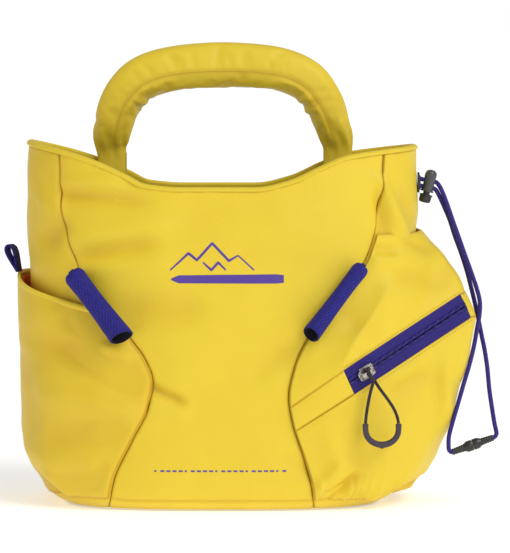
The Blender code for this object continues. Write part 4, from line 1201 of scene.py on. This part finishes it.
# --- The zipped pocket --------------------------------------------------------------------------
# A full pocket over the right side in three parts: an upper and a lower panel either side of the
# zip, and a short strip between them past each end of it. The foot is gathered into the base seam.
ZIP_POCKET = (
    (0.005, 0.1170, 0.0795), (0.009, 0.1280, 0.0830), (0.019, 0.1365, 0.0855),
    (0.032, 0.1445, 0.0870), (0.053, 0.1525, 0.0875), (0.077, 0.1590, 0.0865),
    (0.102, 0.1630, 0.0840), (0.124, 0.1640, 0.0815), (0.143, 0.1590, 0.0785),
    (0.163, 0.1490, 0.0750), (0.175, 0.1385, 0.0728), (0.183, 0.1327, 0.0718),
)
ZIP_POCKET_LOW = 0.006
ZIP_POCKET_HIGH = 0.182
POCKET_ROUNDNESS = 2.6
ZIP_START = Vector((0.0831, -0.0800, 0.0857))
ZIP_END = Vector((0.1619, -0.0350, 0.1331))
ZIP_ACROSS = 0.009
ZIP_FIRST = 0.115
ZIP_LAST = 0.385
ZIP_POCKET_FOLDS = (
    (0.1480, 0.0920, 0.1505, 0.0520, 0.0042, 0.0017),
    (0.1420, 0.0880, 0.1430, 0.0600, 0.0045, -0.0012),
    (0.1140, 0.0870, 0.1300, 0.0970, 0.0048, 0.0016),
    (0.1150, 0.0790, 0.1330, 0.0880, 0.0050, -0.0014),
    (0.0860, 0.0560, 0.0880, 0.0260, 0.0080, -0.0014),
    (0.0700, 0.0520, 0.0800, 0.0200, 0.0060, 0.0010),
    (0.0690, 0.0080, 0.0870, 0.0210, 0.0034, -0.0042),
    (0.0640, 0.0160, 0.0780, 0.0300, 0.0040, 0.0022),
    (0.0980, 0.0080, 0.1120, 0.0150, 0.0040, 0.0018),
    (0.1150, 0.0090, 0.1320, 0.0150, 0.0034, -0.0030),
    (0.1300, 0.0300, 0.1160, 0.0140, 0.0050, 0.0012),
    (0.0990, 0.1720, 0.1130, 0.1700, 0.0034, -0.0022),
    (0.1000, 0.1660, 0.1200, 0.1640, 0.0050, 0.0014),
    (0.1160, 0.1560, 0.1420, 0.1500, 0.0070, -0.0014),
    (0.1060, 0.1440, 0.1260, 0.1380, 0.0070, 0.0010),
    (0.0850, 0.1240, 0.1030, 0.1180, 0.0060, -0.0009),
    (0.1240, 0.1780, 0.1380, 0.1700, 0.0040, -0.0016),
)


def zip_frame():
    """The zip's own directions: along it, across it in its plane, and out of the bag."""
    run = (ZIP_END - ZIP_START).normalized()
    out = Vector((run.y, -run.x, 0)).normalized()
    return run, out.cross(run), out


def zip_point(distance, across, out):
    run, side, outward = zip_frame()
    return ZIP_START + run * distance + side * across + outward * out


def zip_pocket_face(p, z, out=0.0):
    """The zipped pocket's outer face: p runs from the front seam round the side to the back seam."""
    belly = ease(min(p / 0.22, (1 - p) / 0.22))
    left, right = right_seam(z), angle_at(BACK_SEAM, z, back=True)
    angle = left + p * (right - left)
    near = wall(angle, z, POCKET_CLOTH + 3 * POCKET_GAP + out)
    full = outline(ZIP_POCKET, POCKET_ROUNDNESS, angle, z, out)
    return near.lerp(full, belly)


def zip_line(p, across):
    """The edge along the zip's band, straight beside the zip and lying on the pocket past its ends."""
    share = (p - ZIP_FIRST) / (ZIP_LAST - ZIP_FIRST)
    _, side, outward = zip_frame()
    length = (ZIP_END - ZIP_START).length
    seat = outward * 0.0012
    if 0 <= share <= 1:
        return zip_point(share * length, across, 0) + seat
    if share < 0:
        seam_z = 0.0615 + across * 0.87
        start = zip_pocket_face(0.0, seam_z)
        return start.lerp(zip_point(0, across, 0) + seat, ease(0.5 * p / ZIP_FIRST) * 2)
    t = (p - ZIP_LAST) / (1 - ZIP_LAST)
    z = ZIP_END.z + 0.014 * ease(t * 1.3) + across * (0.87 + 0.13 * ease(t * 2))
    free = zip_pocket_face(p, z)
    held = zip_point(length, across, 0) + seat - zip_pocket_face(ZIP_LAST, ZIP_END.z + across * 0.87)
    return free + held * (1 - ease(t / 0.4))


COLUMNS = (18, 44, 58)  # the pocket's columns before, beside and after the zip


def pocket_share(p):
    """Spreads the columns so that one stands at each end of the zip."""
    column = p * sum(COLUMNS)
    if column <= COLUMNS[0]:
        return ZIP_FIRST * column / COLUMNS[0]
    column -= COLUMNS[0]
    if column <= COLUMNS[1]:
        return ZIP_FIRST + (ZIP_LAST - ZIP_FIRST) * column / COLUMNS[1]
    return ZIP_LAST + (1 - ZIP_LAST) * (column - COLUMNS[1]) / COLUMNS[2]


STRIP_ROOM = 0.00008
BAND = ZIP_ACROSS + STRIP_ROOM


def upper_face(p, q):
    p = pocket_share(p)
    edge = zip_line(p, BAND)
    pull = (edge - zip_pocket_face(p, edge.z)) * (1 - ease(q))
    return zip_pocket_face(p, edge.z + q * (ZIP_POCKET_HIGH - edge.z)) + pull


def lower_face(p, q):
    p = pocket_share(p)
    edge = zip_line(p, -BAND)
    pull = (edge - zip_pocket_face(p, edge.z)) * ease(q)
    return zip_pocket_face(p, ZIP_POCKET_LOW + q * (edge.z - ZIP_POCKET_LOW)) + pull


def zip_pocket_lift(zip_edge_at, seed):
    def lift(co, p, q):
        side = min(p, 1 - p) * 0.20
        zip_side = abs(q - zip_edge_at) * 0.085
        far = abs(1 - zip_edge_at - q) * 0.085
        front = ease((0.02 - co.y) / 0.04)
        free = ease(side / 0.014) * ease(zip_side / 0.010) * ease(far / 0.008)
        edges = ease(side / 0.006) * ease(zip_side / 0.006)
        height = 1.3 * folded(ZIP_POCKET_FOLDS, co.x, co.z) * front * edges
        height += slack(co, seed, height=0.0017) * free
        gathers = math.sin(p * 150 + 3 * math.sin(p * 31)) * ease((0.032 - co.z) / 0.024)
        height += 0.00075 * gathers * ease(side / 0.01)
        pull = min(0.7 * seam_pull(side), 1.5 * seam_pull(far * 0.8), 0.35 * seam_pull(zip_side * 1.6))
        # Painted shade: darker along the seams, beside the zip and in the fold hollows.
        dark = 0.7 * max(1 - side / 0.0006, 1 - far / 0.0016, 1 - zip_side / 0.0008, 0.0)
        dark += max(-height, 0.0) * 80
        return pull + height, min(dark, 1.0)

    return lift


for name, face, edge_at, rows, seed in (
    ("upper", upper_face, 0.0, 60, 31.0),
    ("lower", lower_face, 1.0, 84, 37.0),
):
    node, lift = f"zip_pocket_{name}", zip_pocket_lift(edge_at, seed)
    sewn_panel(node, f"{node}_cloth", face, sum(COLUMNS), rows, POCKET_CLOTH, lift, YELLOW)


def end_strip(name, first, last):
    """The strip of cloth between the two panels where the zip's band goes on without a zip."""

    def place(p, q):
        share = first + p * (last - first)
        return zip_line(share, STRIP_ROOM - ZIP_ACROSS).lerp(zip_line(share, ZIP_ACROSS - STRIP_ROOM), q)

    def lift(co, p, q):
        side = min(q, 1 - q) * 0.016
        # The second value is painted shade along the strip's sewn edges.
        return 0.0006 * ease(side / 0.004) - 0.0003, 0.7 * max(1 - side / 0.0009, 0.0)

    sewn_panel(name, f"{name}_cloth", place, 60, 12, POCKET_CLOTH, lift, YELLOW)


end_strip("zip_end_strip_front", 0.0, ZIP_FIRST)
end_strip("zip_end_strip_back", ZIP_LAST, 1.0)

# --- The zip ------------------------------------------------------------------------------------
# A reversed coil zip in purple: two woven tapes, sewn in flat, with the coils' rows of stitches
# standing up either side of the slit.
COIL_HALF = 0.0022
COIL_HIGH = 0.0019
TAPE = 0.0009
COIL_PITCH = 0.00135
zip_length = (ZIP_END - ZIP_START).length
run, side, outward = zip_frame()
PURPLE_TAPE = webbing_look(
    "purple_zip_tape", (0.020, 0.013, 0.14), (0.050, 0.038, 0.28), 2100.0, 1900.0, 1.0, 0.00012, 0.7, 0.1
)

COIL_STITCHES = webbing_look(
    "purple_coil_stitches", (0.014, 0.010, 0.12), (0.095, 0.078, 0.44), 420.0, 1480.0, 0.8, 0.0003, 0.6, 0.05
)

for name, sign in (("upper", 1), ("lower", -1)):

    def tape_face(p, q, sign=sign):
        across = COIL_HALF + 0.0002 + p * (ZIP_ACROSS + 0.0012 - COIL_HALF)
        sag = 0.0003 * math.sin(math.pi * p)
        return zip_point(q * zip_length, sign * across, TAPE - sag - 0.0005 * ease((p - 0.8) / 0.2))

    def coil_face(p, q, sign=sign):
        distance = 0.0004 + q * (zip_length - 0.0008)
        across = 0.00030 + p * COIL_HALF
        hump = math.sin(math.pi * min(0.10 + 0.90 * p, 1.0)) ** 0.55
        row = 0.5 + 0.5 * math.sin(2 * math.pi * (distance / COIL_PITCH + 0.35 * p))
        return zip_point(distance, sign * across, 0.0003 + (COIL_HIGH - 0.0003) * hump * (0.86 + 0.14 * row))

    for part, face, columns, rows, thick, look in (
        ("tape", tape_face, 8, 60, TAPE * 0.8, PURPLE_TAPE),
        ("coil", coil_face, 9, 420, 0.0004, COIL_STITCHES),
    ):
        strip = laid_grid(columns, rows, face)
        turned_out(strip, sum(f.normal.dot(outward) for f in strip.faces))
        node = f"zip_{part}_{name}"
        thickened(place_mesh(f"{node}_woven", strip, look, "bag", 180, node), thick)

# --- The slider ---------------------------------------------------------------------------------
# A nickel-plated die casting: a round-nosed plate with a rivet at the nose, flanges down both sides
# of the coils, a square block behind, and an arched bridge for the puller's cord.
SLIDER_AT = 0.0135
SLIDER_LONG = 0.0125
SLIDER_HALF = 0.0044
SLIDER_TOP = 0.0033
BAR_MIDDLE = 0.00685
NICKEL = plain_material("nickel_plate", (0.46, 0.43, 0.40), 0.30, Metallic=1.0)


def slider_block(bm, outline_points, floor, ceiling, bevel):
    """Adds a closed plate to the casting: an outline of (along, across) pulled up and its top eased."""
    ring = [bm.verts.new(zip_point(SLIDER_AT + a, b, floor)) for a, b in outline_points]
    made = bmesh.ops.extrude_face_region(bm, geom=[bm.faces.new(ring)])
    raised = [v for v in made["geom"] if isinstance(v, bmesh.types.BMVert)]
    bmesh.ops.translate(bm, verts=raised, vec=outward * (ceiling - floor))
    eased(bm, [e for e in bm.edges if set(e.verts) <= set(raised)], bevel)


casting = bmesh.new()
turns = [math.pi * k / 24 for k in range(25)]
nose = [(-SLIDER_LONG / 2 * math.sin(turn), SLIDER_HALF * math.cos(turn)) for turn in turns]
plate_line = nose + [(0.0035, -0.0044), (0.0062, -0.0038), (0.0062, 0.0038), (0.0035, 0.0044)]
slider_block(casting, plate_line, 0.00225, SLIDER_TOP, 0.0004)
for sign in (1, -1):
    flange = [(-0.0040, 0.0030), (-0.0036, 0.0042), (0.0058, 0.0040), (0.0058, 0.0028)]
    slider_block(casting, [(a, sign * b) for a, b in flange], 0.00125, 0.00235, 0.0001)
block = [(0.0026, -0.0030), (0.0056, -0.0034), (0.0058, 0.0034), (0.0026, 0.0030)]
slider_block(casting, block, SLIDER_TOP - 0.0002, 0.0052, 0.0005)
bmesh.ops.recalc_face_normals(casting, faces=casting.faces)
place_mesh("slider_casting", casting, NICKEL, "slider", 28, "zip_slider")

RIVET_RADIUS = 0.0014
RIVET_WIRE = 0.0005


def rivet_face(p, q):
    """The rivet's rolled rim."""
    around, tube = 2 * math.pi * q, 2 * math.pi * p
    reach = RIVET_RADIUS + RIVET_WIRE * math.cos(tube)
    flat = run * (reach * math.cos(around)) + side * (reach * math.sin(around))
    middle = zip_point(SLIDER_AT - 0.0044, -0.0019, SLIDER_TOP + 0.0002)
    return middle + flat + outward * (RIVET_WIRE * 1.3 * math.sin(tube))


rivet = laid_grid(12, 32, rivet_face, weld=1e-6)
bmesh.ops.recalc_face_normals(rivet, faces=rivet.faces)
place_mesh("slider_rivet", rivet, NICKEL, "slider", keep_sharp=180)

ARCH = (
    (-0.0043, 0.0031), (-0.0043, 0.0052), (-0.0039, 0.0063), (-0.0028, 0.00685), (0.0, 0.0070),
    (0.0028, 0.00685), (0.0040, 0.0060), (0.0043, 0.0046),
)
arch_line = smooth_route([zip_point(SLIDER_AT + a, 0, b) for a, b in ARCH], 0.0005)
arch = swept_strap(arch_line, 0.0013, 0.0026, side)
place_mesh("bridge_casting", arch, NICKEL, "slider", 40, "slider_bridge")

# --- The puller ---------------------------------------------------------------------------------
# A loop of dark 2 mm braid passed under the slider's bridge, its two ends moulded into a U-shaped
# grip of plum-coloured rubber.
PULLER_CORD_RADIUS = 0.00105
GRIP_RADIUS = 0.0019


def puller_route():
    """The puller's cord: up the left leg, once round the slider's bar, and down the right leg."""
    middle = zip_point(SLIDER_AT, 0, BAR_MIDDLE)
    front = middle.y - 0.0010
    route = [
        Vector((0.0945, front - 0.0010, 0.0590)),
        Vector((0.0951, front - 0.0012, 0.0650)),
        Vector((0.0963, front - 0.0014, 0.0725)),
        Vector((0.0976, front - 0.0015, 0.0790)),
    ]
    for along_bar, across, out in (
        (-0.0012, -0.0060, 0.0022),
        (-0.0012, -0.0028, 0.0026),
        (-0.0011, 0.0000, 0.0026),
        (-0.0006, 0.0023, 0.0017),
        (0.0000, 0.0030, 0.0000),
        (0.0005, 0.0022, -0.0016),
        (0.0009, 0.0000, -0.0021),
        (0.0012, -0.0030, -0.0021),
        (0.0018, -0.0060, -0.0014),
    ):
        route.append(middle + run * along_bar + side * across + outward * out)
    return route + [
        Vector((0.1040, front, 0.0815)),
        Vector((0.1085, front - 0.0005, 0.0755)),
        Vector((0.1128, front - 0.0008, 0.0690)),
        Vector((0.1152, front - 0.0010, 0.0635)),
        Vector((0.1162, front - 0.0010, 0.0590)),
    ]


DARK_CORD = braid_look("dark_braid", (0.018, 0.012, 0.020), (0.10, 0.085, 0.11))
PLUM_RUBBER = grained_plastic("plum_rubber", (0.046, 0.031, 0.050), 0.55, 0.00006)
cord_line = smooth_route(puller_route(), 0.0008)
braid = sweep(cord_line, round_ring(PULLER_CORD_RADIUS), 14)
cord = place_mesh("puller_braid", braid, DARK_CORD, "puller", stands_for="puller_cord")
route_length(cord_line)
left_end, right_end = cord_line[0], cord_line[-1]
grip_middle = (left_end + right_end) / 2
grip_half = (right_end.x - left_end.x) / 2
grip_line = [left_end + Vector((0, 0, z)) for z in (-0.0003, -0.0020, -0.0035)]
for step in range(1, 16):
    turn = math.pi * (1 - step / 16)
    drop = grip_half * 0.98 * math.sin(turn) ** 0.92
    swing = grip_half * math.cos(turn)
    grip_line.append(Vector((grip_middle.x + swing, left_end.y, left_end.z - 0.0035 - drop)))
grip_line += [right_end + Vector((0, 0, z)) for z in (-0.0035, -0.0020, -0.0003)]


def grip_ring(turn, q):
    """Rounded square in section, thicker at the bottom, with a lip where each leg of the cord ends."""
    near_end = min(q, 1 - q)
    size = GRIP_RADIUS * (0.88 + 0.12 * ease(near_end / 0.02)) * (1 + 0.10 * math.sin(math.pi * q) ** 4)
    size *= 1 + 0.05 * ease((0.06 - near_end) / 0.02)
    c, s = math.cos(turn), math.sin(turn)
    return (
        math.copysign(abs(s) ** 0.75, s) * size * 0.92,
        math.copysign(abs(c) ** 0.75, c) * size,
    )


grip = sweep(smooth_route(grip_line, 0.0006), grip_ring, 24)
nub = bmesh.ops.create_icosphere(grip, subdivisions=2, radius=0.0011)["verts"]
bottom = grip_middle + Vector((0, -0.0006, -0.0035 - grip_half * 0.98 - GRIP_RADIUS * 0.95))
bmesh.ops.scale(grip, vec=(1.5, 1.2, 0.7), verts=nub)
bmesh.ops.translate(grip, vec=bottom, verts=nub)
place_mesh("puller_handgrip", grip, PLUM_RUBBER, "puller", 50, "puller_grip")

# --- The handle ---------------------------------------------------------------------------------
# A foam tube in a sleeve of the bag's own cloth, closed by one seam along its front near the inner
# edge. Each end narrows to a flat neck, which a webbing tab holds between the rim and the lining.
# The sleeve is a little longer than its foam, so the cloth puckers beside the seam.
HANDLE_PLANE = 0.0450
HANDLE = (
    (-0.0750, 0.2150, 0.0101, 0.0021),
    (-0.0750, 0.2220, 0.0101, 0.0021),
    (-0.0752, 0.2290, 0.0101, 0.0024),
    (-0.0758, 0.2340, 0.0106, 0.0036),
    (-0.0756, 0.2400, 0.0124, 0.0072),
    (-0.0742, 0.2490, 0.0138, 0.0104),
    (-0.0712, 0.2600, 0.0145, 0.0120),
    (-0.0645, 0.2715, 0.0150, 0.0132),
    (-0.0520, 0.2820, 0.0154, 0.0138),
    (-0.0300, 0.2880, 0.0154, 0.0140),
    (0.0060, 0.2898, 0.0154, 0.0140),
    (0.0370, 0.2872, 0.0153, 0.0140),
    (0.0555, 0.2800, 0.0150, 0.0136),
    (0.0678, 0.2665, 0.0140, 0.0126),
    (0.0740, 0.2530, 0.0128, 0.0108),
    (0.0770, 0.2420, 0.0116, 0.0072),
    (0.0782, 0.2350, 0.0102, 0.0036),
    (0.0782, 0.2290, 0.0098, 0.0024),
    (0.0780, 0.2220, 0.0097, 0.0021),
    (0.0780, 0.2150, 0.0097, 0.0021),
)
HANDLE_SEAM = 1 - math.acos(0.20) / (2 * math.pi)
handle_rows = smooth_route(HANDLE, 0.0022)


def handle_point(p, q, shrink=0.0, swell=1.0):
    """A place on the handle: p turns round it from the inner edge, and q runs along the arch."""
    last = len(handle_rows) - 1
    at = min(max(q, 0.0), 1.0) * last
    k = min(int(at), last - 1)
    x, z, wide, deep = handle_rows[k].lerp(handle_rows[k + 1], at - k)
    ahead = handle_rows[min(k + 2, last)] - handle_rows[max(k - 1, 0)]
    ahead = Vector((ahead.x, 0, ahead.y)).normalized()
    inward = Vector((ahead.z, 0, -ahead.x))
    turn = 2 * math.pi * p
    out = Vector((0, math.sin(turn) * (deep - shrink) * swell, 0))
    return Vector((x, HANDLE_PLANE, z)) + inward * math.cos(turn) * (wide - shrink) * swell + out


def handle_skin(p, q):
    """The sleeve as it is cut, drawn in at the seam."""
    return handle_point(p, q, swell=0.965)


def puffed(bm, pinned, limit):
    """Fills a sleeve with air: Cloth with pressure, held where pinned says. No point moves past limit."""
    sleeve_object = in_scene("puffed", bm)
    group = sleeve_object.vertex_groups.new(name="held")
    for vert in bm.verts:
        weight = pinned(vert)
        if weight > 0:
            group.add([vert.index], weight, "REPLACE")
    cloth = sleeve_object.modifiers.new("cloth", "CLOTH")
    for setting, value in (
        ("quality", 6),
        ("mass", 0.2),
        ("tension_stiffness", 12),
        ("compression_stiffness", 12),
        ("shear_stiffness", 6),
        ("bending_stiffness", 3.0),
        ("use_pressure", True),
        ("uniform_pressure_force", 4.0),
        ("shrink_min", -0.012),
        ("shrink_max", -0.012),
        ("vertex_group_mass", "held"),
    ):
        setattr(cloth.settings, setting, value)
    cloth.settings.effector_weights.gravity = 0.0
    cloth.collision_settings.use_collision = False
    cloth.point_cache.frame_start = 1
    cloth.point_cache.frame_end = 20
    for frame_number in range(1, 21):
        scene.frame_set(frame_number)
    shown = sleeve_object.evaluated_get(bpy.context.evaluated_depsgraph_get()).to_mesh()
    for vert, moved in zip(bm.verts, shown.vertices):
        step = moved.co - vert.co
        if step.length > limit:
            step *= limit / step.length
        vert.co += step
    scene.frame_set(1)
    bpy.data.objects.remove(sleeve_object, do_unlink=True)


SLEEVE_COLUMNS = 44
sleeve_bm = laid_grid(SLEEVE_COLUMNS, len(handle_rows) - 1, handle_skin)
share_round = sleeve_bm.verts.layers.float.new("round")
share_along = sleeve_bm.verts.layers.float.new("arch")
for vert, shares in zip(sleeve_bm.verts, grid_shares(SLEEVE_COLUMNS, len(handle_rows) - 1)):
    vert[share_round], vert[share_along] = shares
bmesh.ops.remove_doubles(sleeve_bm, verts=sleeve_bm.verts, dist=1e-6)
bmesh.ops.recalc_face_normals(sleeve_bm, faces=sleeve_bm.faces)
sleeve_bm.verts.index_update()


def from_seam(vert):
    """How far round the sleeve a point lies from the seam, in metres."""
    off = abs((vert[share_round] % 1.0) - HANDLE_SEAM)
    return min(off, 1 - off) * 0.088


def held_at(vert):
    q = vert[share_along]
    return 1.0 if from_seam(vert) < 0.0016 or min(q, 1 - q) < 0.11 else 0.0


puffed(sleeve_bm, held_at, 0.0032)
sleeve_bm.normal_update()
painted_shade = sleeve_bm.verts.layers.float.new("painted_shade")
handle_moves = []
for vert in sleeve_bm.verts:
    p, q, away = vert[share_round], vert[share_along], from_seam(vert)
    arch = ease(min(q, 1 - q) / 0.12)
    signed = ((p - HANDLE_SEAM + 0.5) % 1.0 - 0.5) * 0.088
    inner = ease(signed / 0.003) * ease((0.030 - signed) / 0.010)
    groove = math.exp(-((away / 0.0013) ** 2))
    corner = math.exp(-(((q - 0.235) / 0.05) ** 2)) + math.exp(-(((q - 0.775) / 0.05) ** 2))
    gathers = noise.noise(Vector((q * 46, signed * 60, 3.0)))
    gathers += 0.6 * noise.noise(Vector((q * 95, 1.0, signed * 90)))
    ruck = (0.0003 + 0.0015 * corner) * gathers * inner * arch
    ruck += 0.0006 * noise.noise(vert.co * 34)
    at_neck = math.exp(-(((min(q, 1 - q) - 0.105) / 0.03) ** 2))
    neck = 0.0007 * math.sin(p * 2 * math.pi * 7 + q * 40) * at_neck
    up = -0.0009 * groove * arch + ruck + neck
    # Painted shade: darker in the seam's groove, in the hollows of the rucks and a little over the handle's
    # inner side.
    vert[painted_shade] = min(1.0, 0.45 * groove * arch + max(-ruck, 0) * 380 + 0.06 * inner * arch)
    handle_moves.append((vert, vert.normal * up))
for vert, move in handle_moves:
    vert.co += move
handle_bvh = BVHTree.FromBMesh(sleeve_bm)
cover = place_mesh("handle_sleeve", sleeve_bm, YELLOW, None, 180, "handle_cover")
finer = cover.modifiers.new("finer", "SUBSURF")
finer.levels = finer.render_levels = 1
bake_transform(cover)

core = closed_grid(24, 90, lambda p, q: handle_point(p, 0.15 + 0.70 * q, shrink=0.0050))
place_mesh("handle_foam", core, FOAM, "handle", stands_for="handle_core")

TAB_WEBBING = webbing_look(
    "yellow_tab_webbing", (0.62, 0.42, 0.03), (0.85, 0.62, 0.08), 1250.0, 900.0, 1.0, 0.0002
)
for node in ("handle_tab_left", "handle_tab_right"):
    low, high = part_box(node)
    middle = (low + high) / 2
    line = [Vector((middle.x, middle.y, low.z + (high.z - low.z) * k / 12)) for k in range(13)]
    strap = swept_strap(line, 0.0015, (high - low).x, Vector((1, 0, 0)))
    name = node.replace("tab", "anchor")
    place_mesh(name, strap, TAB_WEBBING, stands_for=node)

# --- The printed marks --------------------------------------------------------------------------
# Violet screen print on the front panel: a plain line of peaks over a stripe, and a row of short
# dashes near the base. Both are invented, and stand for no maker.
PRINT_INK = plain_material("violet_print", (0.078, 0.037, 0.30), 0.55)
front_skin = BVHTree.FromObject(front_panel, bpy.context.evaluated_depsgraph_get())


def printed(x, z):
    """The spot on the front panel's cloth behind (x, z), just proud of it."""
    hit, normal, _, _ = front_skin.ray_cast(Vector((x, -0.25, z)), Vector((0, 1, 0)))
    return hit + (normal if normal.y < 0 else -normal) * 0.00016


def stroke(bm, points, widths):
    """A brush stroke through points (x, z), as wide as widths say at each, laid on the cloth."""
    line = [Vector((x, z, w)) for (x, z), w in zip(points, widths)]
    fine = []
    for a, b in zip(line, line[1:]):
        count = max(1, round((b - a).length / 0.0007))
        fine += [a.lerp(b, k / count) for k in range(count)]
    fine.append(line[-1])
    rows = []
    for k, spot in enumerate(fine):
        ahead = fine[min(k + 1, len(fine) - 1)] - fine[max(k - 1, 0)]
        square = Vector((-ahead.y, ahead.x, 0)).normalized() * spot.z / 2
        across = max(2, round(max(widths) / 0.0008))
        row = []
        for step in range(across + 1):
            at = spot + square * (2 * step / across - 1)
            row.append(bm.verts.new(printed(at.x, at.y)))
        rows.append(row)
    for first, second in zip(rows, rows[1:]):
        for j in range(len(first) - 1):
            bm.faces.new((first[j], first[j + 1], second[j + 1], second[j]))


marks = bmesh.new()
RIDGE = ((-0.0335, 0.1590), (-0.0215, 0.1700), (-0.0160, 0.1655), (-0.0060, 0.1765), (0.0050, 0.1650))
PEAKS = (
    (*RIDGE, (0.0110, 0.1685)),
    ((0.0110, 0.1685), (0.0215, 0.1590)),
    ((-0.0120, 0.1640), (-0.0065, 0.1590), (-0.0020, 0.1640), (0.0030, 0.1590)),
)
for points in PEAKS:
    widths = [0.0016 if 0 < k < len(points) - 1 else 0.0009 for k in range(len(points))]
    stroke(marks, points, widths)
STRIPE = ((-0.0330, 0.1530), (-0.0280, 0.1530), (0.0360, 0.1532), (0.0410, 0.1532))
stroke(marks, STRIPE, [0.0008, 0.0052, 0.0060, 0.0050])
for k in range(22):
    x = -0.0440 + k * 0.0040
    long = 0.0026 if k % 5 else 0.0014
    stroke(marks, [(x, 0.0272), (x + long, 0.0272)], [0.0011, 0.0011])
bmesh.ops.recalc_face_normals(marks, faces=marks.faces)
turned_out(marks, -sum(f.normal.y for f in marks.faces))
place_mesh("printed_marks", marks, PRINT_INK, keep_sharp=180)

# --- The stitching ------------------------------------------------------------------------------
# Yellow polyester thread: along the handle's seam and both sides of the zip, and in a short bar
# across the top of the right front seam, where the drawcord's channel starts.
THREAD = plain_material("yellow_thread", (0.52, 0.30, 0.020), 0.5)


def stitched(name, rows, look, radius=0.00022, share=0.72, blend=False):
    """Lockstitches: each row is a list of points on the cloth, one stitch between each two."""
    bm = bmesh.new()
    for row in rows:
        for a, b in zip(row, row[1:]):
            made = bmesh.ops.create_icosphere(bm, subdivisions=1, radius=1.0)["verts"]
            ahead = (b - a).normalized()
            turn = Vector((0, 0, 1)).rotation_difference(ahead).to_matrix().to_4x4()
            size = Matrix.Diagonal((radius, radius, (b - a).length / 2 * share, 1))
            bmesh.ops.transform(bm, matrix=Matrix.Translation((a + b) / 2) @ turn @ size, verts=made)
    return place_mesh(name, bm, look, None if blend else "bag", keep_sharp=180)


seam_row = []
for k in range(108):
    spot = handle_point(HANDLE_SEAM, 0.105 + 0.79 * k / 107)
    hit, _, _, _ = handle_bvh.ray_cast(spot - Vector((0, 0.02, 0)), Vector((0, 1, 0)), 0.04)
    seam_row.append(hit if hit is not None else spot)
handle_thread = stitched("handle_stitches", [seam_row], THREAD, radius=0.00034, blend=True)
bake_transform(handle_thread)

seam_bar = []
for k in range(8):
    z = 0.2330 - 0.0016 * k
    for across in (-0.0009, 0.0009):
        x = along(RIGHT_SEAM, z) + 0.0004 + across
        seam_bar.append(wall(angle_at(x, z + 0.0003 * across / abs(across)), z, 0.0003))
stitched("seam_stitches", [seam_bar], THREAD, radius=0.00028)
zip_rows = []
for across in (ZIP_ACROSS + 0.0018, -ZIP_ACROSS - 0.0018):
    zip_rows.append([zip_point(zip_length * k / 42, across, 0.0018) for k in range(43)])
stitched("zip_stitches", zip_rows, THREAD)
